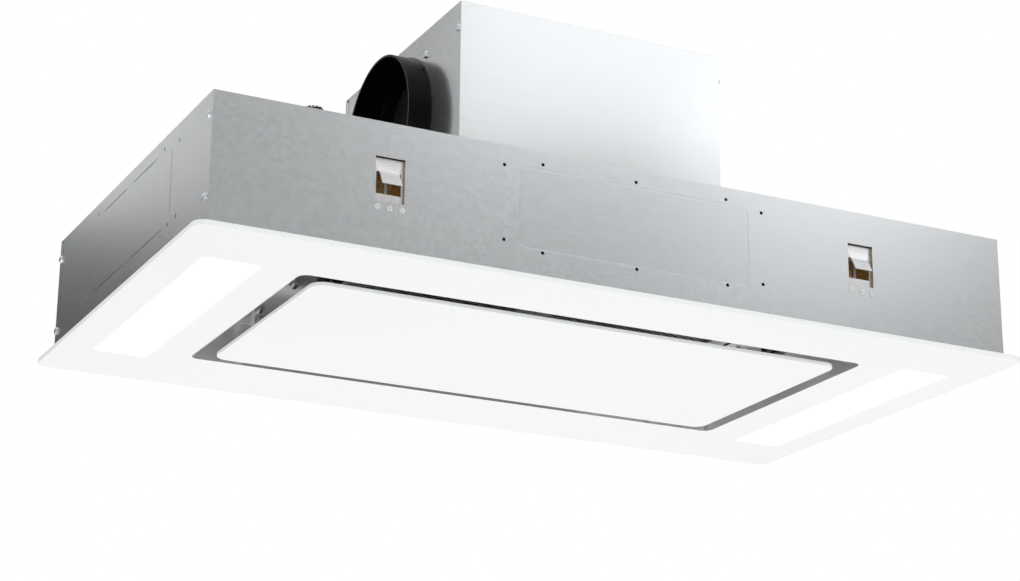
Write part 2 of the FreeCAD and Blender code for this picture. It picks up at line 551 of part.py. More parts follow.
def make_chassis_screws():
    screw = make_screw("sheet_screw", "ScrewHeadRadius", "ScrewHeadHeight", "ScrewShankRadius",
                       "ScrewShankLength")
    spots = [(f"{side} * ChassisX", y, f"GlassTop + {height}", turn)
             for side, turn in ((-1, FACING_LEFT), (1, FACING_RIGHT))
             for y in ("-ChassisY + CornerScrewInset", "ChassisY - RearScrewInset")
             for height in ("CornerScrewLow", "CornerScrewHigh")]
    copies("corner_screws", screw, spots)
    box_spots = []
    for side, turn in ((-1, FACING_LEFT), (1, FACING_RIGHT)):
        x = f"{side} * BoxX"
        box_spots.append((x, "-BoxY + LidTabScrewInset", "BoxTop - LidTabScrewDrop", turn))
        for height in ("RearScrewLow", "RearScrewHigh"):
            box_spots.append((x, "BoxY - BoxRearScrewInset", f"RoofTop + {height}", turn))
    for up in (-1, 1):
        for along in (-1, 1):
            box_spots.append(("-BoxX", f"{along} * CollarScrewSpread",
                              f"FanZ + {up} * CollarScrewSpread", FACING_LEFT))
    copies("motor_box_screws", screw, box_spots)
    fixing = make_screw("fixing_screw", "FixingHeadRadius", "FixingHeadHeight",
                        "FixingShankRadius", "FixingShankLength")
    copies("clamp_fixing_screws", fixing, [
        (f"{side} * ClampOffset + {step} * FixingSpacing", f"{face} * ChassisY",
         "GlassTop + FixingRise", turn)
        for face, turn in ((-1, FACING_FRONT), (1, FACING_REAR))
        for side in (-1, 1) for step in (-1, 0, 1)])


def make_clamp(name, at, turn):
    """Bracket, carriage and screw of a clamp: wall's outer face at Y = 0, inside towards +Y."""
    half, web = "BracketWidth / 2", "WallSheet + BracketDepth"
    bracket = Piece(f"clamp_bracket_{name}", at, turn)
    bracket.pad("XY_Plane", "ClampZ", "BracketHeight", polygon(
        (f"-{half}", "WallSheet"), (f"-{half} + BracketSheet", "WallSheet"),
        (f"-{half} + BracketSheet", f"{web} - BracketSheet"),
        (f"{half} - BracketSheet", f"{web} - BracketSheet"),
        (f"{half} - BracketSheet", "WallSheet"), (half, "WallSheet"), (half, web), (f"-{half}", web)))
    bracket.pad("XZ_Plane", "WallSheet", "BracketSheet",
                rectangle(f"-{half}", half, "ClampZ", "GlassTop + BracketTabTop"),
                *[circle(f"{step} * FixingSpacing", "GlassTop + FixingRise",
                         "FixingShankRadius + ScrewClearance") for step in (-1, 0, 1)])
    for low in ("ClampZ", "ClampTop - BracketSheet"):
        bracket.pad("XY_Plane", low, "BracketSheet",
                    rectangle(f"-{half}", half, "WallSheet", web),
                    circle("0", "ClampScrewDepth", "ClampScrewRadius + ClampScrewClearance"))

    plate_half = "(BracketWidth / 2 - BracketSheet - CarriageGap)"
    carriage = Piece(f"clamp_carriage_{name}", at, turn)
    carriage.pad("XZ_Plane", "CarriageDepth", "CarriageSheet",
                 rectangle(f"-{plate_half}", plate_half, "PlateLow", "PlateLow + CarriageHeight"),
                 rectangle("-CarriageOpeningWidth / 2", "CarriageOpeningWidth / 2",
                           "GlassTop + CarriageOpeningRise", "TongueRoot"))
    carriage.pad("YZ_Plane", "-TongueWidth / 2", "TongueWidth", polygon(
        ("CarriageDepth + CarriageSheet", "TongueRoot + CarriageSheet"),
        ("CarriageDepth", "TongueRoot + CarriageSheet"),
        ("CarriageDepth - TongueKneeReach", "TongueRoot - TongueKneeDrop"),
        ("CarriageDepth - TongueReach", "TongueRoot - TongueDrop"),
        ("CarriageDepth - TongueReach + CarriageSheet", "TongueRoot - TongueDrop"),
        ("CarriageDepth - TongueKneeReach + CarriageSheet",
         "TongueRoot - TongueKneeDrop - TongueKneeBack"),
        ("CarriageDepth + CarriageSheet", "TongueRoot - TongueRootBack")))
    carriage.pad("XY_Plane", "NutZ", "NutHeight",
                 rectangle("-NutWidth / 2", "NutWidth / 2", "CarriageDepth + CarriageSheet / 2",
                           "ClampScrewDepth + NutWidth / 3"))
    carriage.pocket("XY_Plane", "NutZ", "NutHeight",
                    circle("0", "ClampScrewDepth", "ClampScrewRadius + ClampScrewClearance"))

    inwards = -1 if turn else 1
    screw = Piece(f"clamp_screw_{name}", (at[0], f"{at[1]} + ({inwards}) * ClampScrewDepth", "ClampZ"))
    screw.revolve("XZ_Plane", "V_Axis", polygon(
        ("0", "-ClampScrewHeadHeight - CarriageGap"),
        ("ClampScrewHeadRadius", "-ClampScrewHeadHeight - CarriageGap"),
        ("ClampScrewHeadRadius", "-CarriageGap"), ("ClampScrewRadius", "-CarriageGap"),
        ("ClampScrewRadius", "BracketHeight + ClampScrewEnd"), ("0", "BracketHeight + ClampScrewEnd")))


def make_lamps():
    """Opal diffusers on the glass, and housings on the base frame with a lamp strip in each."""
    diffusers, strips, housings = [], [], []
    for side, label in ((-1, "left"), (1, "right")):
        x = f"{side} * LampOffset"
        half, reach = "(LampWidth / 2 - DiffuserClearance)", "(LampLength / 2 - DiffuserClearance)"
        diffusers.append(block(f"diffuser_{label}", f"{x} - {half}", f"{x} + {half}", f"-{reach}", reach,
                               "GlassTop", "GlassTop + DiffuserThickness"))
        strips.append(block(f"strip_{label}", f"{x} - LampStripWidth / 2", f"{x} + LampStripWidth / 2",
                            "-LampLength / 2", "LampLength / 2",
                            "LampTop - LampSheet - LampStripThickness", "LampTop - LampSheet"))
        housing = Piece(f"led_housing_{label}", (x, "0", "0"), keep=False)
        housing.pad("XY_Plane", "BaseTop", "LampHousingHeight",
                    centred("LampWidth / 2 + LampHousingMargin", "LampLength / 2 + LampHousingMargin"))
        housing.pocket("XY_Plane", "BaseTop", "LampHousingHeight - LampSheet", centred(
            "LampWidth / 2 + LampHousingMargin - LampSheet",
            "LampLength / 2 + LampHousingMargin - LampSheet"))
        housings.append(housing.body)
    group("led_diffusers", diffusers)
    group("led_strips", strips)
    group("led_housings", housings)


def make_filters():
    """Two grease filters side by side, flush with the ledge's underside, each with a latch."""
    meshes = []
    for side, label in ((-1, "left"), (1, "right")):
        at = (f"ApertureShiftX + {side} * FilterX", "ApertureShiftY", "0")
        opening_x, opening_y = "FilterLength / 2 - FilterBorder", "FilterY - FilterBorder"
        frame = Piece(f"filter_frame_{label}", at)
        frame.pad("XY_Plane", "LedgeZ", "FilterThickness", centred("FilterLength / 2", "FilterY"),
                  centred(opening_x, opening_y))
        frame.pad("XY_Plane", "TabZ", "TabThickness", *[
            rectangle(f"{s} * TabSpacing / 2 - TabWidth / 2", f"{s} * TabSpacing / 2 + TabWidth / 2",
                      "FilterY - TabLength", "FilterY + TabLength") for s in (-1, 1)])
        slot_half = "LatchWidth / 2 + LatchClearance"
        slot_rear = "LatchY + LatchDepth + LatchTravel + LatchClearance"
        frame.pocket("XY_Plane", "TabZ - LatchClearance", "LatchThickness + 2 * LatchClearance",
                     rectangle(f"-({slot_half})", slot_half, "-FilterY", slot_rear))
        frame.pocket("XY_Plane", "LedgeZ", "TabZ - LedgeZ",
                     rectangle("-FingerWidth / 2 - LatchClearance", "FingerWidth / 2 + LatchClearance",
                               "LatchY + LatchDepth - FingerThickness - LatchClearance", slot_rear))
        latch = Piece(f"filter_latch_{label}", at)
        latch.pad("XY_Plane", "TabZ", "LatchThickness",
                  rectangle("-LatchWidth / 2", "LatchWidth / 2", "LatchY", "LatchY + LatchDepth"))
        latch.pad("XY_Plane", "TabZ - FingerDrop", "FingerDrop + LatchThickness",
                  rectangle("-FingerWidth / 2", "FingerWidth / 2",
                            "LatchY + LatchDepth - FingerThickness", "LatchY + LatchDepth"))
        meshes.append(block(f"mesh_{label}", f"{at[0]} - ({opening_x})", f"{at[0]} + {opening_x}",
                            f"{at[1]} - ({opening_y})", f"{at[1]} + {opening_y}",
                            "LedgeZ + MeshLift", "LedgeZ + MeshLift + MeshThickness"))
    group("filter_meshes", meshes)


def make_suction_panel():
    """The white panel in the aperture, its steel carrier with the hinge lugs, the catch studs."""
    panel = Piece("suction_panel", APERTURE)
    panel.pad("XY_Plane", "0", "PanelThickness", rounded("0", "0", "PanelX", "PanelY", "PanelCorner"))

    carrier = Piece("panel_carrier", APERTURE)
    carrier.pad("XY_Plane", "PanelThickness", "CarrierSheet",
                rectangle("-CarrierX", "CarrierX", "CarrierFront", "CarrierRear"))
    carrier.pad("XY_Plane", "PanelThickness", "CarrierRim",
                rectangle("-CarrierX", "CarrierX", "CarrierFront", "CarrierRear"),
                rectangle("-CarrierX + CarrierSheet", "CarrierX - CarrierSheet",
                          "CarrierFront + CarrierSheet", "CarrierRear - CarrierSheet"))
    for side in (-1, 1):
        lug_from = f"{side} * HingeOffset - LugThickness / 2"
        knuckle = [(f"HingeY + {along} * KnuckleRadius", f"HingeRise + {up} * KnuckleRadius")
                   for along, up in (LUG_REAR, LUG_TOP, LUG_FRONT)]
        carrier.pad("YZ_Plane", lug_from, "LugThickness", polygon(
            ("HingeY - LugReach", "CarrierFloor - CarrierSheet / 2"),
            ("HingeY", "CarrierFloor - CarrierSheet / 2"), *knuckle))
        carrier.pad("YZ_Plane", lug_from, "LugThickness", circle("HingeY", "HingeRise", "KnuckleRadius"))
        carrier.pocket("YZ_Plane", lug_from, "LugThickness",
                       circle("HingeY", "HingeRise", "HingePinRadius + HingeClearance"))

    studs = [rod(f"stud_{side}", (f"ApertureShiftX + {side} * CatchOffset", "ApertureShiftY + CatchY",
                                  "CarrierFloor"), "StudRadius", "CatchBottom + StudInCatch - CarrierFloor")
             for side in (-1, 1)]
    group("catch_studs", studs)

    brackets, pins, catches = [], [], []
    for side, label in ((-1, "left"), (1, "right")):
        bracket = Piece(f"hinge_bracket_{label}", APERTURE, keep=False)
        x = f"{side} * HingeOffset"
        bracket.pad("XY_Plane", "LedgeZ - HingeFoot", "HingeFoot",
                    rectangle(f"{x} - EarOuter", f"{x} + EarOuter",
                              "HingeY - HingeFootDepth / 2", "HingeY + HingeFootDepth / 2"))
        for start in (f"{x} - EarOuter", f"{x} + EarInner"):
            bracket.pad("YZ_Plane", start, "EarThickness", rectangle(
                "HingeY - KnuckleRadius", "HingeY + KnuckleRadius", "HingeRise", "LedgeZ"))
            bracket.pad("YZ_Plane", start, "EarThickness", circle("HingeY", "HingeRise", "KnuckleRadius"))
        bracket.pocket("YZ_Plane", f"{x} - EarOuter", "2 * EarOuter",
                       circle("HingeY", "HingeRise", "HingePinRadius + HingeClearance"))
        brackets.append(bracket.body)
        pins.append(rod(f"pin_{label}", (f"ApertureShiftX + {x} - EarOuter - HingePinEnd",
                                         "ApertureShiftY + HingeY", "HingeRise"),
                        "HingePinRadius", "2 * (EarOuter + HingePinEnd)", FACING_RIGHT))
        catch = Piece(f"catch_{label}", (f"ApertureShiftX + {side} * CatchOffset",
                                         "ApertureShiftY + CatchY", "CatchBottom"), keep=False)
        catch.pad("XY_Plane", "0", "CatchHeight", centred("CatchLength / 2", "CatchWidth / 2"))
        catch.pocket("XY_Plane", "0", "CatchBoreDepth", circle("0", "0", "CatchBore"))
        catches.append(catch.body)
    group("hinge_brackets", brackets)
    group("hinge_pins", pins)
    group("panel_catches", catches)


def make_motor_box():
    """Shell of front and sides, rear plate with its returns, lid with inner flanges."""
    shell = Piece("motor_box_shell")
    rear_end = "BoxY - BoxReturn - BoxSeam"
    shell.pad("XY_Plane", "RoofTop", "LidBottom - RoofTop", polygon(
        ("-BoxX", "-BoxY"), ("BoxX", "-BoxY"), ("BoxX", rear_end), ("BoxInnerX", rear_end),
        ("BoxInnerX", "-BoxInnerY"), ("-BoxInnerX", "-BoxInnerY"), ("-BoxInnerX", rear_end),
        ("-BoxX", rear_end)))
    for inner in ("-BoxInnerX", "BoxInnerX - BoxSheet"):
        shell.pad("YZ_Plane", inner, "BoxSheet", rectangle(
            f"{rear_end} - BoxLipLap", "BoxInnerY - FlangeGap",
            "RoofTop", "LidBottom - LidFlange - FlangeGap"))
    for start in ("-BoxX - BoxFoot", "BoxX - BoxSheet / 2"):
        shell.pad("YZ_Plane", start, "BoxFoot + BoxSheet / 2",
                  rectangle("-BoxY", rear_end, "RoofTop", "RoofTop + BoxSheet"))
    hole = "ScrewShankRadius + ScrewClearance"
    shell.pocket("YZ_Plane", "-BoxX", "BoxSheet", circle("0", "FanZ", "CollarHole"), *[
        circle(f"{along} * CollarScrewSpread", f"FanZ + {up} * CollarScrewSpread", hole)
        for along in (-1, 1) for up in (-1, 1)])
    for start in ("-BoxX", "BoxInnerX - BoxSheet"):
        shell.pocket("YZ_Plane", start, "2 * BoxSheet",
                     circle("-BoxY + LidTabScrewInset", "BoxTop - LidTabScrewDrop", hole), *[
                         circle("BoxY - BoxRearScrewInset", f"RoofTop + {height}", hole)
                         for height in ("RearScrewLow", "RearScrewHigh")])

    rear = Piece("motor_box_rear")
    rear.pad("XZ_Plane", "BoxInnerY", "BoxSheet", rectangle("-BoxX", "BoxX", "RoofTop", "LidBottom"))
    for start in ("-BoxX", "BoxInnerX"):
        rear.pad("YZ_Plane", start, "BoxSheet", polygon(
            ("BoxY - BoxReturn", "RoofTop"), ("BoxY - BoxSheet / 2", "RoofTop"),
            ("BoxY - BoxSheet / 2", "LidBottom"), ("BoxY - BoxReturn + BoxChamfer", "LidBottom"),
            ("BoxY - BoxReturn", "LidBottom - BoxChamfer")))
        rear.pocket("YZ_Plane", start, "BoxSheet", *[
            circle("BoxY - BoxRearScrewInset", f"RoofTop + {height}", hole)
            for height in ("RearScrewLow", "RearScrewHigh")])

    lid = Piece("motor_box_lid")
    lid.pad("XY_Plane", "LidBottom", "BoxSheet", centred("BoxX", "BoxY"))
    lid.pad("XY_Plane", "LidBottom - LidFlange", "LidFlange", centred("BoxInnerX", "BoxInnerY"),
            centred("BoxInnerX - BoxSheet", "BoxInnerY - BoxSheet"))
    for start in ("-BoxInnerX", "BoxInnerX - BoxSheet"):
        lid.pad("YZ_Plane", start, "BoxSheet", rectangle(
            "-BoxInnerY", "-BoxInnerY + LidTabWidth", "LidBottom - LidTabDepth", "LidBottom"))
        lid.pocket("YZ_Plane", start, "BoxSheet",
                   circle("-BoxY + LidTabScrewInset", "BoxTop - LidTabScrewDrop", hole))


def make_outlet():
    """Duct collar through the box's left wall, with two non-return flaps on an upright pin."""
    inner_end = "VoluteMouthInset - OutletPlate"
    collar = Piece("outlet_collar", ("-BoxX", "0", "FanZ"))
    collar.revolve("XZ_Plane", "H_Axis", polygon(
        ("-CollarLength", "CollarMouthBore"), ("-CollarLength", "CollarRadius"),
        ("-CollarBaseLength", "CollarRadius"), ("-CollarBaseLength * 0.5", "CollarBaseRadius"),
        ("0", "CollarBaseRadius"), ("0", "CollarSpigotRadius"), (inner_end, "CollarSpigotRadius"),
        (inner_end, "CollarBore"), ("CollarSeat", "CollarBore"),
        ("CollarSeat - CollarSeatSlope", "CollarMouthBore")))
    screws = [circle(f"{along} * CollarScrewSpread", f"{up} * CollarScrewSpread",
                     "ScrewShankRadius + ScrewClearance") for along in (-1, 1) for up in (-1, 1)]
    collar.pad("YZ_Plane", "BoxSheet", "CollarFlangeThickness",
               centred("CollarFlangeHalf", "CollarFlangeHalf"),
               circle("0", "0", "(CollarSpigotRadius + CollarBore) / 2"), *screws)
    collar.pocket("XY_Plane", "-CollarBaseRadius", "2 * CollarBaseRadius",
                  circle("FlapPinInset", "0", "FlapPinRadius + FlapPinClearance"))
    at_pin = ("-BoxX + FlapPinInset", "0", "FanZ")
    pin = rod("flap_pin", (at_pin[0], "0", "FanZ - FlapPinHalf"), "FlapPinRadius", "2 * FlapPinHalf")
    sub_parts.append(pin)
    for side, label in ((-1, "front"), (1, "rear")):
        flap = Piece(f"flap_{label}", at_pin)
        flap.pad("YZ_Plane", "-FlapThickness / 2", "FlapThickness",
                 half_disc(side, "FlapChord", "FlapRadius"))
        low = "FlapSleeveGap" if side < 0 else "-FlapSleeveGap - FlapSleeveLength"
        flap.pad("XY_Plane", low, "FlapSleeveLength",
                 rectangle("-FlapThickness / 2", "FlapThickness / 2",
                           *sorted((f"{side} * (FlapChord + FlapThickness)",
                                    f"{side} * (FlapSleeveRadius + FlapSleeveBore) / 2"), key=value)))
        flap.pad("XY_Plane", low, "FlapSleeveLength", circle("0", "0", "FlapSleeveRadius"))
        flap.pocket("XY_Plane", low, "FlapSleeveLength", circle("0", "0", "FlapSleeveBore"))


def make_scroll():
    """The scroll: three quarter arcs of growing radius, a floor and a roof to the mouth plate."""
    step, first = value("VoluteStep"), value("VoluteFirstRadius")
    fan_x, fan_z, mouth = value("FanX"), value("FanZ"), value("MouthX")
    wall, half = value("VoluteSheet"), value("VoluteY")
    past = 4 * wall

    def at(x, z):
        return FreeCAD.Vector(x, 0, z)

    def arc(centre_x, centre_z, radius, start, middle, end):
        points = [at(centre_x + radius * x, centre_z + radius * z) for x, z in (start, middle, end)]
        return Part.Arc(*points).toShape()

    near, slope = step / 2, 0.5 ** 0.5
    low_arc = arc(fan_x + near, fan_z - near, first, (-1, 0), (-slope, -slope), (0, -1))
    right_arc = arc(fan_x + near, fan_z + near, first + step, (0, -1), (slope, -slope), (1, 0))
    top_arc = arc(fan_x - near, fan_z + near, first + 2 * step, (1, 0), (slope, slope), (0, 1))
    tongue = at(fan_x + near - first, fan_z - near)
    crown = at(fan_x - near, fan_z + near + first + 2 * step)
    mouth_low = at(mouth, fan_z - value("VoluteMouthLow"))
    mouth_high = at(mouth, fan_z + value("VoluteMouthHigh"))
    beyond_low, beyond_high = mouth_low - at(past, 0), mouth_high - at(past, 0)
    wire = Part.Wire([
        Part.makeLine(mouth_low, tongue), low_arc, right_arc, top_arc,
        Part.makeLine(crown, mouth_high), Part.makeLine(mouth_high, beyond_high),
        Part.makeLine(beyond_high, beyond_low), Part.makeLine(beyond_low, mouth_low)])
    passage = Part.Face(wire)
    skin = passage.makeOffset2D(wall).cut(passage)
    band = skin.extrude(FreeCAD.Vector(0, 2 * half, 0))
    band.translate(FreeCAD.Vector(0, -half, 0))
    reach = 2 * (first + 3 * step)
    keep = Part.makeBox(2 * reach, 4 * half, 2 * reach, FreeCAD.Vector(mouth, -2 * half, fan_z - reach))
    plate_width = 2 * value("VoluteOuterY")
    plate_low = fan_z - value("VolutePlateBottom")
    plate = Part.makeBox(value("OutletPlate"), plate_width, value("VolutePlateTop + VolutePlateBottom"),
                         FreeCAD.Vector(mouth - value("OutletPlate"), -plate_width / 2, plate_low))
    hole = Part.makeCylinder(value("OutletHole"), 2 * past, at(mouth - past, fan_z), X_AXIS)
    scroll = doc.addObject("Part::Feature", "volute_scroll")
    scroll.Label = "volute_scroll"
    scroll.Shape = band.common(keep).fuse(plate.cut(hole)).removeSplitter()
    sub_parts.append(scroll)


def make_volute_plates():
    """Side plates of the volute, each with a round inlet whose lip turns inwards."""
    for side, label in ((-1, "front"), (1, "rear")):
        plate = Piece(f"volute_{label}_plate", ("FanX", "0", "FanZ"))
        outer = "-VoluteOuterY" if side < 0 else "VoluteY"
        lip = "-VoluteOuterY" if side < 0 else "VoluteOuterY - InletLip"
        plate.pad("XZ_Plane", outer, "VoluteSheet",
                  rectangle("MouthX - FanX", "VolutePlateRight", "-VolutePlateBottom", "VolutePlateTop"),
                  circle("0", "0", "InletRadius"))
        plate.pad("XZ_Plane", lip, "InletLip", circle("0", "0", "InletRadius + VoluteSheet"),
                  circle("0", "0", "InletRadius"))
    rails = []
    rail_half = "BoxInnerX - CollarFlangeThickness - RailEndGap"
    for side in (-1, 1):
        rail = Piece(f"rail_{'front' if side < 0 else 'rear'}",
                     ("0", f"{side} * VoluteOuterY", "RoofTop"),
                     (Z_AXIS, 180) if side < 0 else None, keep=False)
        rail.pad("YZ_Plane", f"-({rail_half})", f"2 * ({rail_half})", polygon(
            ("0", "0"), ("RailDepth", "0"), ("RailDepth", "RailSheet"), ("RailSheet", "RailSheet"),
            ("RailSheet", "RailHeight"), ("0", "RailHeight")))
        rails.append(rail.body)
    group("fan_rails", rails)


def make_rotor():
    """Double-inlet impeller on its shaft, about the fan's axis along Y."""
    at_fan = ("FanX", "0", "FanZ")
    impeller = Piece("impeller", at_fan)
    half = "ImpellerWidth / 2"
    impeller.pad("XZ_Plane", "-ImpellerDisc / 2", "ImpellerDisc", circle("0", "0", "ImpellerRadius"),
                 circle("0", "0", "ShaftRadius + ShaftClearance"))
    impeller.pad("XZ_Plane", "-ImpellerDisc / 2 - HubLength", "HubLength", circle("0", "0", "HubRadius"),
                 circle("0", "0", "ShaftRadius + ShaftClearance"))
    blade = impeller.pad("XZ_Plane", f"-({half})", "ImpellerWidth", polygon(
        ("ImpellerInner + 1", "-BladeThickness / 2"), ("ImpellerRadius - 1", "BladeRake - BladeThickness / 2"),
        ("ImpellerRadius - 1", "BladeRake + BladeThickness / 2"), ("ImpellerInner + 1", "BladeThickness / 2")))
    blades = impeller.body.newObject("PartDesign::PolarPattern", "blades")
    blades.Originals = [blade]
    blades.Axis = (impeller.origin("Y_Axis"), [""])
    blades.Angle = 360
    blades.setExpression("Occurrences", bound("BladeCount"))
    impeller.body.Tip = blades
    for start in (f"-({half})", f"{half} - ImpellerRim"):
        impeller.pad("XZ_Plane", start, "ImpellerRim", circle("0", "0", "ImpellerRadius"),
                     circle("0", "0", "ImpellerInner"))

    length = "HubLength + ImpellerDisc / 2 + ShaftEnd + MotorFront + ShaftInMotor"
    shaft = rod("fan_shaft", ("FanX", "-HubLength - ImpellerDisc / 2 - ShaftEnd", "FanZ"),
                "ShaftRadius", length, FACING_REAR)
    sub_parts.append(shaft)

    motor = Piece("fan_motor", at_fan)
    motor.revolve("XY_Plane", "V_Axis", polygon(
        ("MotorBore", "MotorFront"), ("MotorRadius - MotorGap", "MotorFront"),
        ("MotorRadius", "MotorFront + MotorGap"), ("MotorRadius", "MotorRear"), ("MotorNeck", "MotorRear"),
        ("MotorNeck", "SpiderY"), ("0", "SpiderY"), ("0", "MotorFront + ShaftInMotor + ShaftEnd"),
        ("MotorBore", "MotorFront + ShaftInMotor + ShaftEnd")))

    spider = Piece("motor_bracket", at_fan)
    spider.pad("XZ_Plane", "SpiderY", "SpiderThickness", circle("0", "0", "SpiderHub"))
    arm = spider.pad("XZ_Plane", "SpiderY", "SpiderThickness",
                     rectangle("-SpiderArmWidth / 2", "SpiderArmWidth / 2", "0", "MountSpread + MountRadius"))
    arms = spider.body.newObject("PartDesign::PolarPattern", "arms")
    arms.Originals = [arm]
    arms.Axis = (spider.origin("Y_Axis"), [""])
    arms.Angle = 360
    arms.Occurrences = 3
    spider.body.Tip = arms
    directions = [("0", "1"), ("sqrt(3) / 2", "-0.5"), ("-sqrt(3) / 2", "-0.5")]
    group("motor_mounts", [
        rod(f"mount_{number}", (f"FanX + {x} * MountSpread", "VoluteOuterY", f"FanZ + {z} * MountSpread"),
            "MountRadius", "MountHeight", FACING_REAR)
        for number, (x, z) in enumerate(directions, 1)])
    capacitor = rod("capacitor", ("CapacitorX", "-VoluteOuterY", "CapacitorZ"), "CapacitorRadius",
                    "CapacitorLength", FACING_FRONT)
    sub_parts.append(capacitor)


def make_controls():
    """Control box under the top plate, its lid and board, and the cable gland above it."""
    half_x, half_y = "ControlLength / 2", "ControlWidth / 2"
    box = Piece("control_box", ("ControlX", "ControlY", "0"))
    box.pad("XY_Plane", "ControlBottom", "ControlHeight", centred(half_x, half_y))
    box.pocket("XY_Plane", "ControlBottom", "ControlHeight - ControlSheet",
               centred(f"{half_x} - ControlSheet", f"{half_y} - ControlSheet"))
    box.pocket("XY_Plane", "RoofBottom - ControlSheet", "ControlSheet",
               circle("GlandX - ControlX", "GlandY - ControlY", "GlandRadius + ScrewClearance"))
    boss_x, boss_y = f"({half_x} - BossInset)", f"({half_y} - BossInset)"
    box.pad("XY_Plane", "RoofBottom - ControlSheet - BossLength", "BossLength + ControlSheet / 2", *[
        circle(f"{sx} * {boss_x}", f"{sy} * {boss_y}", "BossRadius")
        for sx, sy in ((-1, -1), (-1, 1), (1, 1))])
    board_top = "RoofBottom - ControlSheet - BossLength"
    board = block("control_board", "ControlX - ControlLength / 2 + BoardInset",
                  "ControlX + ControlLength / 2 - BoardInset", "ControlY - ControlWidth / 2 + BoardInset",
                  "ControlY + ControlWidth / 2 - BoardInset", f"{board_top} - BoardThickness", board_top)
    lid = block("control_box_lid", f"ControlX - {half_x}", f"ControlX + {half_x}", f"ControlY - {half_y}",
                f"ControlY + {half_y}", "ControlBottom - ControlSheet", "ControlBottom")
    sub_parts.extend([board, lid])
    gland = Piece("cable_gland", ("GlandX", "GlandY", "RoofTop"))
    gland.revolve("XZ_Plane", "V_Axis", polygon(
        ("GlandBore", "-GlandBelow"), ("GlandRadius", "-GlandBelow"), ("GlandRadius", "0"),
        ("GlandFlange", "0"), ("GlandFlange", "GlandFlangeHeight"), ("GlandDomeRadius", "GlandFlangeHeight"),
        ("GlandDomeRadius", f"GlandHeight * {GLAND_SHOULDER}"),
        (f"GlandDomeRadius * {GLAND_SHOULDER}", "GlandHeight"),
        ("GlandBore", "GlandHeight")))


def make_all():
    make_glass()
    make_base_frame()
    make_tray()
    make_dome_screws()
    make_long_wall("front_wall", ("0", "-ChassisY", "0"), None, rear=False)
    make_long_wall("rear_wall", ("0", "ChassisY", "0"), (Z_AXIS, 180), rear=True)
    make_side_wall("left_wall", -1)
    make_side_wall("right_wall", 1)
    make_roof()
    make_chassis_screws()
    for face, turn, row in ((-1, None, "front"), (1, (Z_AXIS, 180), "rear")):
        for side, column in ((-1, "left"), (1, "right")):
            make_clamp(f"{row}_{column}", (f"{side} * ClampOffset", f"{face} * ChassisY", "0"), turn)
    make_lamps()
    make_filters()
    make_suction_panel()
    make_motor_box()
    make_outlet()
    make_scroll()
    make_volute_plates()
    make_rotor()
    make_controls()


def check_and_write():
    """Stop on any failed feature or bad shape, then write one file for each sub-part."""
    doc.recompute()
    for item in doc.Objects:
        if "Invalid" in item.State or "Error" in item.State:
            raise RuntimeError(f"{item.Label} ({item.TypeId}) failed: {item.State}")
        if item.TypeId == "PartDesign::Pocket" and item.BaseFeature:
            if item.Shape.Volume > item.BaseFeature.Shape.Volume - LEAST_CUT:
                raise RuntimeError(f"{item.Label} cuts nothing")
    os.makedirs("parts", exist_ok=True)
    for item in sub_parts:
        if item.Shape.isNull() or not item.Shape.isValid():
            raise RuntimeError(f"{item.Label} has a bad shape")
        item.Shape.exportStep(f"parts/{item.Label}.step")
        box = item.Shape.BoundBox
        print(f"{item.Label:28s} solids {len(item.Shape.Solids):2d}  volume {item.Shape.Volume:11.1f}  "
              f"x {box.XMin:8.2f} {box.XMax:8.2f}  y {box.YMin:8.2f} {box.YMax:8.2f}  "
              f"z {box.ZMin:7.2f} {box.ZMax:7.2f}")


make_all()
check_and_write()
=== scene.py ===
"""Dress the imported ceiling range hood: finishes, modelled details, studio and camera.

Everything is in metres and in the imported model's frame: +Z is up into the ceiling, +X runs along
the long side away from the duct, and the side that the photograph shows faces -Y.
"""

import json
import logging
import math
from contextlib import contextmanager
from dataclasses import dataclass
from enum import Enum
from typing import Callable, Iterator, Optional, Sequence

import bmesh
import bpy
from mathutils import Matrix, Vector


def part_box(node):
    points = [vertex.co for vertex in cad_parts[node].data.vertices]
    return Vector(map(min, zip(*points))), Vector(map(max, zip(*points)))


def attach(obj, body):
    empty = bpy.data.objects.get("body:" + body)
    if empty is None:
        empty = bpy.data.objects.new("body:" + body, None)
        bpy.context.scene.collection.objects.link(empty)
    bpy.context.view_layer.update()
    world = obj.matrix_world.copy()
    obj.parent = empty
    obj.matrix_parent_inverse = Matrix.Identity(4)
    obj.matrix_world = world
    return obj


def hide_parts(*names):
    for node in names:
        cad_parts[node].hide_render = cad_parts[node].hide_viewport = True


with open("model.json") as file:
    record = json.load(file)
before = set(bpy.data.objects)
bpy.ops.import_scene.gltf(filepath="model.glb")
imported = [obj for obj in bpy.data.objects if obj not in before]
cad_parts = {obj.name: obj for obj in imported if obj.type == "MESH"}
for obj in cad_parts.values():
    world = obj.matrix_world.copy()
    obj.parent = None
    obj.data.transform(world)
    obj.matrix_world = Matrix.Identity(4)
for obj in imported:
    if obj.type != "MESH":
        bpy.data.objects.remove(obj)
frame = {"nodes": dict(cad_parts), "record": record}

LOG = logging.getLogger("hood")
MM = 0.001
# Points nearer than this are one point.
TOLERANCE = 0.001 * MM
# From these shares of a unit vector on, a face looks along an axis and an edge runs along it.
FACING = 0.9
STRAIGHT = 0.999
BLACK = (0.0, 0.0, 0.0, 1.0)
WHITE = (1.0, 1.0, 1.0, 1.0)
Triple = tuple[float, float, float]
Levels = tuple[tuple[float, float], ...]
Box = tuple[Vector, Vector]
Test = Callable[[Vector, Vector], bool]
Piece = bpy.types.Object
Socket = bpy.types.NodeSocket


class Axis(Enum):
    """Directions that screw heads face."""

    X = Vector((1, 0, 0))
    Y = Vector((0, 1, 0))
    Z = Vector((0, 0, 1))


# ---------------------------------------------------------------------------- modelling

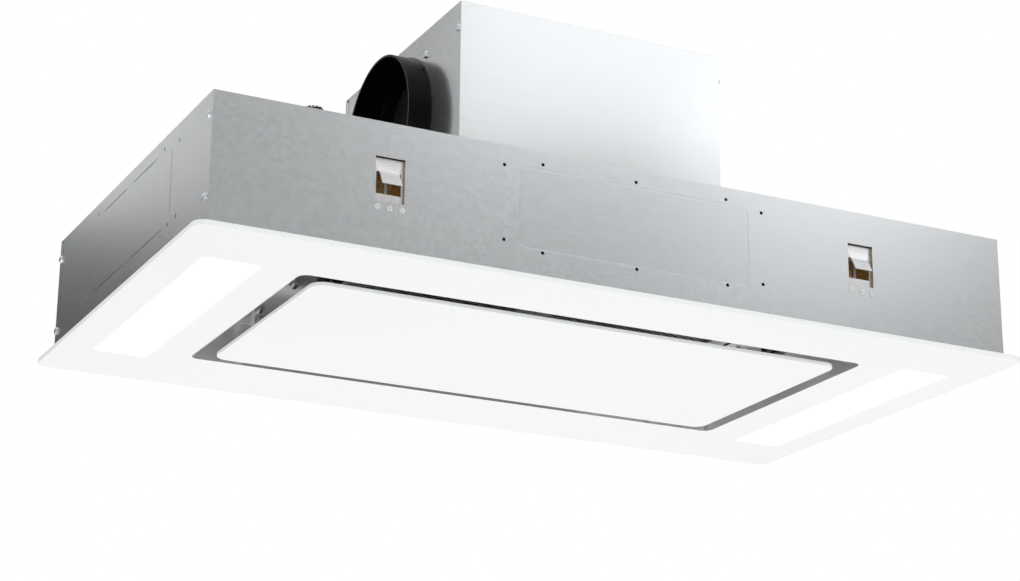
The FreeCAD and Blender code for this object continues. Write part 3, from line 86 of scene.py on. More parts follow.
def clear_selection() -> None:
    """Leave edit mode and deselect everything."""
    if bpy.context.object and bpy.context.object.mode != "OBJECT":
        bpy.ops.object.mode_set(mode="OBJECT")
    bpy.ops.object.select_all(action="DESELECT")


def hold(piece: Piece) -> None:
    """Make one piece the only selected and the active one.

    Args:
        piece: the object to hold.
    """
    clear_selection()
    piece.select_set(True)
    bpy.context.view_layer.objects.active = piece


def settle(piece: Piece, name: Optional[str] = None) -> Piece:
    """Put a piece's place, turn and scale into its mesh.

    Args:
        piece: the object to settle.
        name: a new name for the object and its mesh.

    Returns:
        The same object.
    """
    hold(piece)
    bpy.ops.object.transform_apply(location=True, rotation=True, scale=True)
    if name:
        piece.name = piece.data.name = name
    return piece


def new_object(name: str, content: bpy.types.ID) -> Piece:
    """Link a new object to the scene.

    Args:
        name: the object's name.
        content: its mesh, lamp or camera.

    Returns:
        The object.
    """
    piece = bpy.data.objects.new(name, content)
    bpy.context.collection.objects.link(piece)
    return piece


def begin_cylinder(radius: float, depth: float, middle: Sequence[float], sides: int) -> Piece:
    """Start a piece from a capped upright cylinder.

    Args:
        radius: its radius.
        depth: its full height.
        middle: where its middle goes.
        sides: how many sides it has.

    Returns:
        The new object, settled.
    """
    clear_selection()
    bpy.ops.mesh.primitive_cylinder_add(vertices=sides, radius=radius, depth=depth, location=middle)
    return settle(bpy.context.object)


def begin_block(size: Sequence[float], middle: Sequence[float]) -> Piece:
    """Start a piece from a block.

    Args:
        size: its size along each axis.
        middle: where its middle goes.

    Returns:
        The new object, settled.
    """
    clear_selection()
    bpy.ops.mesh.primitive_cube_add(size=1, location=middle)
    bpy.context.object.scale = size
    return settle(bpy.context.object)


@contextmanager
def editing(piece: Piece, kind: str = "FACE") -> Iterator[None]:
    """Hold a piece in edit mode with nothing selected.

    Args:
        piece: the object to edit.
        kind: what is selected in it, VERT, EDGE or FACE.
    """
    hold(piece)
    bpy.ops.object.mode_set(mode="EDIT")
    bpy.ops.mesh.select_mode(type=kind)
    bpy.ops.mesh.select_all(action="DESELECT")
    yield
    bpy.ops.object.mode_set(mode="OBJECT")


def is_top(middle: Vector, normal: Vector) -> bool:
    """Whether a face looks up."""
    return normal.z > FACING


def is_underside(middle: Vector, normal: Vector) -> bool:
    """Whether a face looks down."""
    return normal.z < -FACING


def pick_faces(piece: Piece, test: Test) -> None:
    """Select only the faces whose middle and normal pass a test.

    Args:
        piece: the object in edit mode.
        test: takes a face's middle and normal.
    """
    shape = bmesh.from_edit_mesh(piece.data)
    for face in shape.faces:
        face.select_set(False)
    for face in [face for face in shape.faces if test(face.calc_center_median(), face.normal)]:
        face.select_set(True)
    shape.select_flush_mode()
    bmesh.update_edit_mesh(piece.data)


def pick_edges(piece: Piece, test: Test) -> None:
    """Select only the edges whose middle and direction pass a test.

    Args:
        piece: the object in edit mode.
        test: takes an edge's middle and unit direction.
    """
    shape = bmesh.from_edit_mesh(piece.data)
    for edge in shape.edges:
        first, second = (vertex.co for vertex in edge.verts)
        edge.select_set(test((first + second) / 2, (second - first).normalized()))
    shape.select_flush_mode()
    bmesh.update_edit_mesh(piece.data)


def close_up(piece: Piece, distance: float = TOLERANCE) -> None:
    """Merge a piece's doubles and turn all its faces outwards.

    Args:
        piece: the object to mend.
        distance: how near two points are to count as one.
    """
    with editing(piece, "VERT"):
        bpy.ops.mesh.select_all(action="SELECT")
        bpy.ops.mesh.remove_doubles(threshold=distance)
        bpy.ops.mesh.normals_make_consistent(inside=False)


def smooth(piece: Piece, degrees: float = 35) -> None:
    """Shade a piece smooth, but for its edges sharper than an angle."""
    hold(piece)
    bpy.ops.object.shade_smooth_by_angle(angle=math.radians(degrees))


def add_modifier(piece: Piece, kind: str, **settings: object) -> str:
    """Add one modifier to a piece.

    Args:
        piece: the object that it changes.
        kind: the modifier's type.
        settings: its own properties.

    Returns:
        The modifier's name.
    """
    modifier = piece.modifiers.new(kind.title(), kind)
    for name, setting in settings.items():
        setattr(modifier, name, setting)
    return modifier.name


def apply_modifier(piece: Piece, kind: str, **settings: object) -> None:
    """Add one modifier to a piece with the given settings and apply it."""
    hold(piece)
    bpy.ops.object.modifier_apply(modifier=add_modifier(piece, kind, **settings))


def soften(piece: Piece, width: float, flat: float = 0.5, sharp: float = 50) -> None:
    """Bevel a piece's sharp edges with modifiers, which leave its mesh as it is.

    Args:
        piece: the object.
        width: the bevel's width.
        flat: degrees up to which neighbouring faces count as one.
        sharp: degrees from which an edge is sharp.
    """
    add_modifier(piece, "WELD", merge_threshold=TOLERANCE)
    add_modifier(piece, "DECIMATE", decimate_type="DISSOLVE", angle_limit=math.radians(flat))
    add_modifier(piece, "BEVEL", width=width, segments=2, limit_method="ANGLE",
                 angle_limit=math.radians(sharp), use_clamp_overlap=True)
    add_modifier(piece, "WEIGHTED_NORMAL", keep_sharp=False)


def bevel(offset: float, segments: int) -> None:
    """Bevel the selected edges, or the edges of the selected faces."""
    bpy.ops.mesh.bevel(offset=offset, segments=segments, profile=0.5, affect="EDGES")


def carve(piece: Piece, cutter: Piece) -> None:
    """Cut one object out of another and throw the cutter away."""
    apply_modifier(piece, "BOOLEAN", operation="DIFFERENCE", object=cutter, solver="EXACT")
    bpy.data.objects.remove(cutter, do_unlink=True)


def join(pieces: Sequence[Piece], name: str) -> Piece:
    """Make one object of several.

    Args:
        pieces: the objects, the first of which takes in the others.
        name: the joined object's name.

    Returns:
        The joined object.
    """
    hold(pieces[0])
    for piece in pieces[1:]:
        piece.select_set(True)
    if len(pieces) > 1:
        bpy.ops.object.join()
    joined = bpy.context.view_layer.objects.active
    joined.name = joined.data.name = name
    return joined


def copy_at(master: Piece, matrix: Matrix) -> Piece:
    """Copy a master with a mesh of its own.

    Args:
        master: the object to copy.
        matrix: where the copy's mesh goes.

    Returns:
        The copy.
    """
    copy = master.copy()
    copy.data = master.data.copy()
    copy.data.transform(matrix)
    bpy.context.collection.objects.link(copy)
    return copy


def scatter(master: Piece, matrices: Sequence[Matrix], name: str) -> Piece:
    """Set copies of a master at each matrix, join them and remove the master.

    Args:
        master: the object to repeat.
        matrices: one place and turn for each copy.
        name: the joined object's name.

    Returns:
        The joined copies.
    """
    copies = [copy_at(master, matrix) for matrix in matrices]
    bpy.data.objects.remove(master, do_unlink=True)
    return join(copies, name)


def facing(point: Vector, outwards: Vector) -> Matrix:
    """A matrix that stands a master's +Z along a direction, at a point."""
    return Matrix.Translation(point) @ outwards.to_track_quat("Z", "Y").to_matrix().to_4x4()


def stand_in(box: Box, rise: float = 0.0) -> Matrix:
    """A matrix that takes a master to the middle of a box's underside, and up by a rise."""
    low, high = box
    return Matrix.Translation(((low.x + high.x) / 2, (low.y + high.y) / 2, low.z + rise))


def heading(azimuth: float, elevation: float) -> Vector:
    """The direction at an azimuth from +X and an elevation, both in degrees."""
    turn, lift = math.radians(azimuth), math.radians(elevation)
    return Vector((math.cos(lift) * math.cos(turn), math.cos(lift) * math.sin(turn), math.sin(lift)))


def solids_of(node: str) -> list[Box]:
    """Find the separate solids of a CAD node.

    Args:
        node: the node's name.

    Returns:
        Each solid's lowest and highest corner.
    """
    shape = bmesh.new()
    shape.from_mesh(frame["nodes"][node].data)
    bmesh.ops.remove_doubles(shape, verts=shape.verts, dist=TOLERANCE)
    left, boxes = set(shape.verts), []
    while left:
        reached = {left.pop()}
        edge_of_search = list(reached)
        while edge_of_search:
            vertex = edge_of_search.pop()
            for edge in vertex.link_edges:
                other = edge.other_vert(vertex)
                if other in left:
                    left.remove(other)
                    reached.add(other)
                    edge_of_search.append(other)
        spots = [vertex.co for vertex in reached]
        boxes.append(tuple(Vector(pick(spot[axis] for spot in spots) for axis in range(3))
                           for pick in (min, max)))
    shape.free()
    return sorted(boxes, key=lambda box: tuple(box[0]))


def screw_seats(node: str, head_height: float) -> list[Matrix]:
    """Work out where a node's screws sit on the outside of the hood.

    Args:
        node: a CAD node of sheet screws, each shorter than its head is wide.
        head_height: how far the heads stand out.

    Returns:
        For each screw, the matrix that takes a master seated at Z = 0 to its place.
    """
    seats = []
    for low, high in solids_of(node):
        size, middle = high - low, (low + high) / 2
        along = min(range(3), key=lambda axis: size[axis])
        outwards = list(Axis)[along].value * (1 if middle[along] > 0 else -1)
        seats.append(facing(middle + outwards * (size[along] / 2 - head_height), outwards))
    return seats


# ---------------------------------------------------------------------------- finishes

class Graph:
    """A node tree while it is laid."""

    def __init__(self, tree: bpy.types.NodeTree) -> None:
        """Take a tree to lay nodes in."""
        self.tree = tree

    def node(self, kind: str, sources: dict[str | int, object], **settings: object) -> bpy.types.Node:
        """Add a node.

        Args:
            kind: the node's type.
            sources: for each input socket, a value or the socket that feeds it.
            settings: the node's own properties.

        Returns:
            The new node.
        """
        node = self.tree.nodes.new(kind)
        for name, setting in settings.items():
            setattr(node, name, setting)
        for name, source in sources.items():
            self.plug(node.inputs[name], source)
        return node

    def plug(self, slot: Socket, source: object) -> None:
        """Link a socket to an input, or set the input to a value.

        Args:
            slot: the input.
            source: the socket or the value.
        """
        if isinstance(source, Socket):
            self.tree.links.new(source, slot)
        else:
            slot.default_value = source

    def math(self, operation: str, first: object, second: object = 0.0) -> Socket:
        """Combine two numbers.

        Args:
            operation: the Math node's operation.
            first: a value or a socket.
            second: another one.

        Returns:
            The socket of the result.
        """
        node = self.node("ShaderNodeMath", {}, operation=operation)
        for slot, source in zip(node.inputs, (first, second)):
            self.plug(slot, source)
        return node.outputs[0]

    def blend(self, share: object, first: object, second: object) -> Socket:
        """Mix two colours.

        Args:
            share: how much of the second goes in.
            first: a colour or a socket.
            second: another one.

        Returns:
            The socket of the mixed colour.
        """
        node = self.node("ShaderNodeMix", {}, data_type="RGBA")
        for number, source in zip((0, 6, 7), (share, first, second)):
            self.plug(node.inputs[number], source)
        return node.outputs[2]

    def choose(self, share: Socket, first: Socket, second: Socket) -> Socket:
        """Mix two shaders.

        Args:
            share: how much of the second goes in.
            first: a shader's socket.
            second: another one.

        Returns:
            The socket of the mixed shader.
        """
        mix = self.node("ShaderNodeMixShader", {"Fac": share})
        for slot, shader in zip((mix.inputs[1], mix.inputs[2]), (first, second)):
            self.plug(slot, shader)
        return mix.outputs[0]

    def axes(self, source: Socket) -> bpy.types.bpy_prop_collection:
        """The X, Y and Z sockets of a vector."""
        return self.node("ShaderNodeSeparateXYZ", {"Vector": source}).outputs

    def span(self, source: Socket, low: float, high: float,
             start: float = 0.0, end: float = 1.0, kind: str = "LINEAR") -> Socket:
        """Map a number from start..end to low..high."""
        return self.node("ShaderNodeMapRange", {
            "Value": source, "From Min": start, "From Max": end, "To Min": low, "To Max": high},
            interpolation_type=kind).outputs[0]

    def colours(self, source: Socket, stops: Sequence[tuple[float, Triple]]) -> Socket:
        """Turn a number into a colour.

        Args:
            source: the number's socket.
            stops: the places along it, each with its colour.

        Returns:
            The socket of the colour.
        """
        ramp = self.node("ShaderNodeValToRGB", {"Fac": source})
        elements = ramp.color_ramp.elements
        while len(elements) < len(stops):
            elements.new(0.5)
        for element, (place, colour) in zip(elements, stops):
            element.position = place
            element.color = (*colour, 1.0)
        return ramp.outputs["Color"]

    def greys(self, source: Socket, stops: Levels) -> Socket:
        """Turn a number into a grey over given stops."""
        return self.colours(source, [(place, (level,) * 3) for place, level in stops])


@dataclass(frozen=True)
class Relief:
    """Small relief: the size of its blots, its strength, its depth and its detail."""

    size: float
    strength: float
    depth: float
    detail: float = 2.0


class Paint(Graph):
    """A material while its nodes are laid: a shader, and patterns in Object coordinates."""

    def __init__(self, name: str, colour: Triple, metallic: float, roughness: float) -> None:
        """Start a material with plain values.

        Args:
            name: the material's name.
            colour: base colour in linear light.
            metallic: 0 or 1, or between for a film over metal.
            roughness: the shader's roughness.
        """
        self.material = bpy.data.materials.new(name)
        self.material.use_nodes = True
        super().__init__(self.material.node_tree)
        self.shader = self.tree.nodes["Principled BSDF"]
        self.spot = self.tree.nodes.new("ShaderNodeTexCoord").outputs["Object"]
        self.set("Base Color", (*colour, 1.0))
        self.set("Metallic", metallic)
        self.set("Roughness", roughness)

    def set(self, socket: str, setting: object) -> None:
        """Set one of the shader's own sockets."""
        self.shader.inputs[socket].default_value = setting

    def feed(self, socket: str, source: Socket) -> None:
        """Link a pattern to one of the shader's sockets."""
        self.tree.links.new(source, self.shader.inputs[socket])

    def noise(self, size: float, detail: float = 2.0, stretch: Triple = (1, 1, 1)) -> Socket:
        """A cloudy pattern from 0 to 1 whose blots are about a size in metres."""
        place = self.node("ShaderNodeMapping", {"Vector": self.spot, "Scale": stretch}).outputs[0]
        return self.node("ShaderNodeTexNoise", {
            "Vector": place, "Scale": 1 / size, "Detail": detail}).outputs["Fac"]

    def crystals(self, size: float, ragged: float = 0.55, fine: float = 1.6) -> Socket:
        """Lay a pattern of ragged cells.

        Args:
            size: about how wide a cell is.
            ragged: how far their borders wander, as a share of the size.
            fine: how many wanders there are to a cell.

        Returns:
            A socket with one level from 0 to 1 in each cell.
        """
        wobble = self.node("ShaderNodeTexNoise", {"Vector": self.spot, "Scale": fine / size})
        shift = self.node("ShaderNodeVectorMath", {
            0: wobble.outputs["Color"], "Scale": size * ragged}, operation="SCALE")
        place = self.node("ShaderNodeVectorMath", {0: self.spot, 1: shift.outputs[0]}, operation="ADD")
        cells = self.node("ShaderNodeTexVoronoi", {"Vector": place.outputs[0], "Scale": 1 / size})
        return self.node("ShaderNodeSeparateColor", {"Color": cells.outputs["Color"]}).outputs[0]

    def shade(self, colour: Triple, source: Socket, low: float, high: float) -> Socket:
        """A colour whose brightness runs from low to high times itself with a pattern."""
        ends = [tuple(min(1.0, part * share) for part in colour) for share in (low, high)]
        return self.colours(source, [(0.25, ends[0]), (0.75, ends[1])])

    def bump(self, height: Socket, strength: float, depth: float) -> None:
        """Give the surface small relief from a pattern, on top of what it has.

        Args:
            height: the pattern.
            strength: its share.
            depth: how deep it is in metres.
        """
        sources = {"Height": height, "Strength": strength, "Distance": depth}
        links = self.shader.inputs["Normal"].links
        if links:
            sources["Normal"] = links[0].from_socket
        self.feed("Normal", self.node("ShaderNodeBump", sources).outputs[0])

    def emboss(self, relief: Relief) -> None:
        """Give the surface a cloudy relief."""
        self.bump(self.noise(relief.size, relief.detail), relief.strength, relief.depth)


@dataclass(frozen=True)
class Finish:
    """A finish, which lays its nodes and hands over a material."""

    name: str

    def lay(self) -> Paint:
        """Lay the finish's nodes."""
        raise NotImplementedError

    def make(self) -> bpy.types.Material:
        """Make the material."""
        return self.lay().material


@dataclass(frozen=True)
class Galvanised(Finish):
    """Zinc-coated sheet with faint crystals, clouds and rolling marks."""

    colour: Triple = (0.70, 0.72, 0.735)
    roughness: float = 0.24
    metallic: float = 0.95
    crystal: float = 0.004
    contrast: float = 0.018
    cloud: float = 0.03
    rolled: float = 0.003
    crystal_gloss: float = 0.012
    rolled_gloss: float = 0.018
    skin: Relief = Relief(0.0012, 0.06, 0.0001)
    waves: Relief = Relief(0.12, 0.02, 0.0012, 0.0)

    def lay(self) -> Paint:
        """Lay the sheet's own colour, gloss and relief.

        Returns:
            The laid material.
        """
        paint = Paint(self.name, self.colour, self.metallic, self.roughness)
        cells, clouds = paint.crystals(self.crystal), paint.noise(self.cloud, 4.0, (0.6, 0.6, 1.0))
        rolled = paint.noise(self.rolled, 2.0, (0.05, 0.05, 1.0))
        mix = paint.math("MULTIPLY", paint.math("ADD", cells, clouds), 0.5)
        paint.feed("Base Color", paint.shade(self.colour, mix, 1 - self.contrast, 1 + self.contrast))
        rough = paint.math("ADD", paint.span(cells, -self.crystal_gloss, self.crystal_gloss),
                           paint.span(rolled, -self.rolled_gloss, self.rolled_gloss))
        paint.feed("Roughness", paint.math("ADD", rough, self.roughness))
        paint.emboss(self.skin)
        paint.emboss(self.waves)
        return paint


@dataclass(frozen=True)
class ScoredSheet(Galvanised):
    """Galvanised long wall, with the score round its duct knock-out and painted shade that darkens the
    field inside it.
    """

    middle: float = 0.0785
    half_length: float = 0.127
    half_height: float = 0.0405
    corner: float = 0.006
    groove: float = 0.0008
    groove_depth: float = 0.00022
    relief_share: float = 0.1
    painted_shade_share: float = 0.965
    painted_shade_mix: float = 0.6

    def distance(self, paint: Paint) -> Socket:
        """Measure how far a spot lies outside the score.

        Args:
            paint: the material that is laid.

        Returns:
            A socket with the distance in metres, negative inside the score.
        """
        x, _, z = paint.axes(paint.spot)
        sides = [paint.math("SUBTRACT", paint.math("ABSOLUTE", paint.math("SUBTRACT", part, middle)),
                            half - self.corner)
                 for part, middle, half in ((x, 0.0, self.half_length),
                                            (z, self.middle, self.half_height))]
        beyond = [paint.math("POWER", paint.math("MAXIMUM", side, 0.0), 2.0) for side in sides]
        rounded = paint.math("SQRT", paint.math("ADD", *beyond))
        within = paint.math("MINIMUM", paint.math("MAXIMUM", *sides), 0.0)
        return paint.math("SUBTRACT", paint.math("ADD", rounded, within), self.corner)

    def lay(self) -> Paint:
        """Lay the sheet, the painted shade of its field and its score.

        Returns:
            The laid material.
        """
        paint = super().lay()
        distance = self.distance(paint)
        sheet = paint.shader.inputs["Base Color"].links[0].from_socket
        # Painted shade: the field inside the score is darkened a little, in place of the shade that falls
        # on the pressed panel.
        painted_shade_tone = tuple(part * self.painted_shade_share for part in self.colour)
        mask = paint.span(distance, self.painted_shade_mix, 0.0, -self.groove, self.groove, "SMOOTHSTEP")
        paint.feed("Base Color", paint.blend(mask, sheet, (*painted_shade_tone, 1.0)))
        relief = paint.span(paint.math("ABSOLUTE", distance), 0.0, 1.0, 0.0, self.groove, "SMOOTHSTEP")
        paint.bump(relief, self.relief_share, self.groove_depth)
        return paint


@dataclass(frozen=True)
class Plated(Finish):
    """Bright plated, ground or polished metal with fine drawn lines."""

    colour: Triple
    roughness: float
    lines: Triple = (0.04, 1.0, 1.0)
    line_size: float = 0.0006
    blot: float = 0.03
    metallic: float = 1.0
    line_gloss: float = 0.18
    blot_gloss: float = 0.08
    line_share: float = 0.03
    line_depth: float = 0.00005

    def lay(self) -> Paint:
        """Lay the metal.

        Returns:
            The laid material.
        """
        paint = Paint(self.name, self.colour, self.metallic, self.roughness)
        lines = paint.noise(self.line_size, 3.0, self.lines)
        clouds = paint.noise(self.blot)
        paint.feed("Base Color", paint.shade(self.colour, clouds, 0.97, 1.02))
        rough = paint.math("ADD", paint.span(lines, -self.line_gloss, self.line_gloss),
                           paint.span(clouds, -self.blot_gloss, self.blot_gloss))
        paint.feed("Roughness", paint.math("MULTIPLY", paint.math("ADD", rough, 1.0), self.roughness))
        paint.bump(lines, self.line_share, self.line_depth)
        return paint


@dataclass(frozen=True)
class Passivated(Finish):
    """Yellow passivated zinc with its drifting gold, olive and rose."""

    tones: tuple[Triple, ...] = ((0.78, 0.50, 0.10), (0.66, 0.50, 0.16), (0.70, 0.38, 0.15),
                                 (0.84, 0.60, 0.18))
    metallic: float = 0.35
    roughness: float = 0.27
    drift: float = 0.022
    smear: float = 0.006
    skin: Relief = Relief(0.0012, 0.1, 0.0001)

    def lay(self) -> Paint:
        """Lay the film.

        Returns:
            The laid material.
        """
        paint = Paint(self.name, self.tones[0], self.metallic, self.roughness)
        stops = [(0.3 + 0.4 * number / (len(self.tones) - 1), tone)
                 for number, tone in enumerate(self.tones)]
        paint.feed("Base Color", paint.colours(paint.noise(self.drift, 3.0), stops))
        paint.feed("Roughness", paint.span(paint.noise(self.smear), self.roughness - 0.07,
                                           self.roughness + 0.09))
        paint.emboss(self.skin)
        return paint


@dataclass(frozen=True)
class Moulded(Finish):
    """Moulded or painted plastic, rubber or painted metal, with a fine skin and worn gloss."""

    colour: Triple
    roughness: float
    grain: float = 0.0006
    depth: float = 0.00006
    cloud: float = 0.05
    coat: float = 0.0
    coat_roughness: float = 0.08
    gloss: float = 0.5

    def lay(self) -> Paint:
        """Lay the skin.

        Returns:
            The laid material.
        """
        paint = Paint(self.name, self.colour, 0.0, self.roughness)
        paint.set("Specular IOR Level", self.gloss)
        paint.set("Coat Weight", self.coat)
        paint.set("Coat Roughness", self.coat_roughness)
        clouds = paint.noise(self.cloud, 3.0)
        paint.feed("Base Color", paint.shade(self.colour, clouds, 0.88, 1.12))
        paint.feed("Roughness", paint.span(clouds, self.roughness * 0.85, self.roughness * 1.15))
        paint.emboss(Relief(self.grain, 0.35, self.depth))
        return paint


@dataclass(frozen=True)
class WhiteGlass(Finish):
    """Back-painted white glass: gloss, bars of light where a lamp is behind, and ground edges
    with painted light: a tint lighter than the faces and an even glow that no lamp gives them."""

    colour: Triple = (0.875, 0.885, 0.885)
    # Ground edges: a green-grey tint, made lighter than the faces as a painted highlight for the light
    # that falls on them.
    edge: Triple = (0.92, 0.94, 0.935)
    roughness: float = 0.07
    edge_roughness: float = 0.22
    gloss: float = 0.35
    lamp_middle: float = 0.385
    lamp_half_width: float = 0.027
    lamp_half_length: float = 0.165
    fade: float = 0.0045
    glow: Triple = (0.30, 0.30, 0.29)
    painted_edge_glow: Triple = (0.24, 0.25, 0.245)

    def lamp_mask(self, paint: Paint) -> Socket:
        """Lay a mask of the two lamps.

        Args:
            paint: the material that is laid.

        Returns:
            A socket that is 1 over the lamps and fades out past their sides.
        """
        x, y, _ = paint.axes(paint.spot)
        across = paint.math("ABSOLUTE", paint.math("SUBTRACT", paint.math("ABSOLUTE", x),
                                                   self.lamp_middle))
        along = paint.math("ABSOLUTE", y)
        sides = [paint.span(distance, 1.0, 0.0, half - self.fade, half + self.fade, "SMOOTHSTEP")
                 for distance, half in ((across, self.lamp_half_width), (along, self.lamp_half_length))]
        return paint.math("MULTIPLY", *sides)

    def lay(self) -> Paint:
        """Lay the faces, the lamps' light and the edges with their painted glow.

        Returns:
            The laid material.
        """
        paint = Paint(self.name, self.colour, 0.0, self.roughness)
        paint.set("Specular IOR Level", self.gloss)
        paint.set("Emission Strength", 1.0)
        upright = paint.axes(paint.node("ShaderNodeNewGeometry", {}).outputs["True Normal"])[2]
        flat = paint.span(paint.math("ABSOLUTE", upright), 0.0, 1.0, 0.35, 0.75)
        face = paint.shade(self.colour, paint.noise(0.3), 0.99, 1.01)
        paint.feed("Base Color", paint.blend(flat, (*self.edge, 1.0), face))
        smears = paint.noise(0.05, 4.0, (1.0, 0.35, 1.0))
        face_gloss = paint.span(smears, self.roughness * 0.8, self.roughness * 1.5, 0.4, 0.75)
        paint.feed("Roughness", paint.math("ADD", face_gloss,
                                           paint.span(flat, self.edge_roughness, 0.0)))
        lit = paint.colours(self.lamp_mask(paint), [(0.0, BLACK[:3]), (1.0, self.glow)])
        # Painted light: every edge gives off an even glow, though no lamp lights it.
        paint.feed("Emission Color", paint.blend(flat, (*self.painted_edge_glow, 1.0), lit))
        return paint


@dataclass(frozen=True)
class Opal(Finish):
    """Opal plastic of a lit diffuser, its light broken into faint dots."""

    colour: Triple = (0.93, 0.93, 0.91)
    light: Triple = (1.0, 0.99, 0.95)
    roughness: float = 0.35
    power: float = 0.8
    dot: float = 0.012
    skin: Relief = Relief(0.0008, 0.2, 0.00005)

    def lay(self) -> Paint:
        """Lay the plastic and its light.

        Returns:
            The laid material.
        """
        paint = Paint(self.name, self.colour, 0.0, self.roughness)
        paint.set("Emission Strength", self.power)
        dots = paint.noise(self.dot, 1.0, (1.0, 1.0, 0.2))
        paint.feed("Emission Color", paint.shade(self.light, dots, 0.9, 1.0))
        paint.feed("Roughness", paint.span(dots, self.roughness - 0.05, self.roughness + 0.07))
        paint.emboss(self.skin)
        return paint


@dataclass(frozen=True)
class Board(Finish):
    """Circuit board or lamp strip: solder mask with tracks under it and a faint weave."""

    colour: Triple
    track: Triple
    roughness: float = 0.35
    tracks_per_metre: float = 90.0
    track_share: float = 0.3
    weave: Relief = Relief(0.0007, 0.1, 0.00004, 1.0)

    def lay(self) -> Paint:
        """Lay the mask, the tracks and the weave.

        Returns:
            The laid material.
        """
        paint = Paint(self.name, self.colour, 0.0, self.roughness)
        mask = (*self.colour, 1.0)
        colour, fac = paint.node("ShaderNodeTexBrick", {
            "Vector": paint.spot, "Scale": self.tracks_per_metre, "Mortar Size": 0.08,
            "Mortar Smooth": 0.1, "Color1": mask, "Color2": mask, "Mortar": (*self.track, 1.0)}).outputs
        paint.feed("Base Color", colour)
        paint.feed("Roughness", paint.span(fac, self.roughness, self.roughness - 0.1))
        paint.bump(fac, self.track_share, self.weave.depth)
        paint.emboss(self.weave)
        return paint


FINISHES = [
    WhiteGlass("white_glass"),
    Galvanised("galvanised_sheet"),
    ScoredSheet("scored_sheet"),
    Galvanised("bright_box_sheet", (0.67, 0.69, 0.70), 0.17, 0.88, contrast=0.01),
    Plated("polished_stainless", (0.86, 0.86, 0.86), 0.13, lines=(1.0, 0.03, 1.0), metallic=0.55),
    Plated("zinc_steel", (0.80, 0.81, 0.83), 0.26),
    Plated("carriage_zinc", (0.84, 0.84, 0.86), 0.28, metallic=0.6),
    Passivated("yellow_zinc"),
    Plated("white_screw", (0.98, 0.98, 0.99), 0.2, blot=0.004, metallic=0.0),
    Moulded("black_gloss_plastic", (0.003, 0.003, 0.003), 0.28, grain=0.004, depth=0.0001, gloss=0.13),
    Moulded("black_plastic", (0.018, 0.018, 0.019), 0.40, gloss=0.35),
    Plated("filter_aluminium", (0.86, 0.87, 0.88), 0.30, line_size=0.0009, metallic=0.8),
    Plated("filter_mesh", (0.86, 0.87, 0.88), 0.34, metallic=0.7, lines=(1.0, 1.0, 1.0), line_size=0.002),
    Opal("opal_plastic"),
    Board("led_board", (0.86, 0.86, 0.82), (0.78, 0.78, 0.72)),
    Board("green_board", (0.02, 0.16, 0.06), (0.05, 0.28, 0.11)),
    Moulded("motor_paint", (0.05, 0.05, 0.055), 0.38, grain=0.0015, coat=0.2),
    Moulded("rubber", (0.02, 0.02, 0.02), 0.75, grain=0.0004),
    Plated("bright_steel", (0.60, 0.60, 0.61), 0.14),
    Moulded("capacitor_shell", (0.74, 0.74, 0.72), 0.32, cloud=0.02),
]


# ---------------------------------------------------------------------------- sub-assemblies

@dataclass(frozen=True)
class PanScrew:
    """A pan-head screw with a cross recess, its seat at Z = 0 and its head above."""

    head_radius: float = 4 * MM
    head_height: float = 2 * MM
    shank_radius: float = 1.5 * MM
    shank_length: float = 4 * MM
    sides: int = 28
    dome: float = 0.55
    point: float = 0.8
    recess_reach: float = 0.55
    recess_width: float = 0.2
    recess_depth: float = 0.62
    recess_taper: float = 0.55

    def build(self) -> Piece:
        """Model the screw.

        Returns:
            The master, at the origin.
        """
        screw = begin_cylinder(self.head_radius, self.head_height, (0, 0, self.head_height / 2),
                               self.sides)
        with editing(screw):
            pick_faces(screw, is_top)
            bevel(self.head_height * self.dome, 4)
            pick_faces(screw, is_underside)
            bpy.ops.mesh.inset(thickness=self.head_radius - self.shank_radius)
            bpy.ops.mesh.extrude_region_move(
                TRANSFORM_OT_translate={"value": (0, 0, -self.shank_length)})
            bpy.ops.transform.resize(value=(self.point, self.point, 1.0))
        for turned in (False, True):
            self.cut_slot(screw, turned)
        close_up(screw)
        smooth(screw)
        return screw

    def cut_slot(self, screw: Piece, turned: bool) -> None:
        """Cut one bar of the cross, which narrows downwards.

        Args:
            screw: the screw that is cut.
            turned: whether the bar runs along Y.
        """
        reach, width = 2 * self.recess_reach * self.head_radius, self.recess_width * self.head_radius
        depth = self.head_height * self.recess_depth
        size = (width, reach, 2 * depth) if turned else (reach, width, 2 * depth)
        bar = begin_block(size, (0, 0, self.head_height))
        with editing(bar):
            pick_faces(bar, is_underside)
            bpy.ops.transform.resize(value=(self.recess_taper, self.recess_taper, 1.0))
        carve(screw, bar)


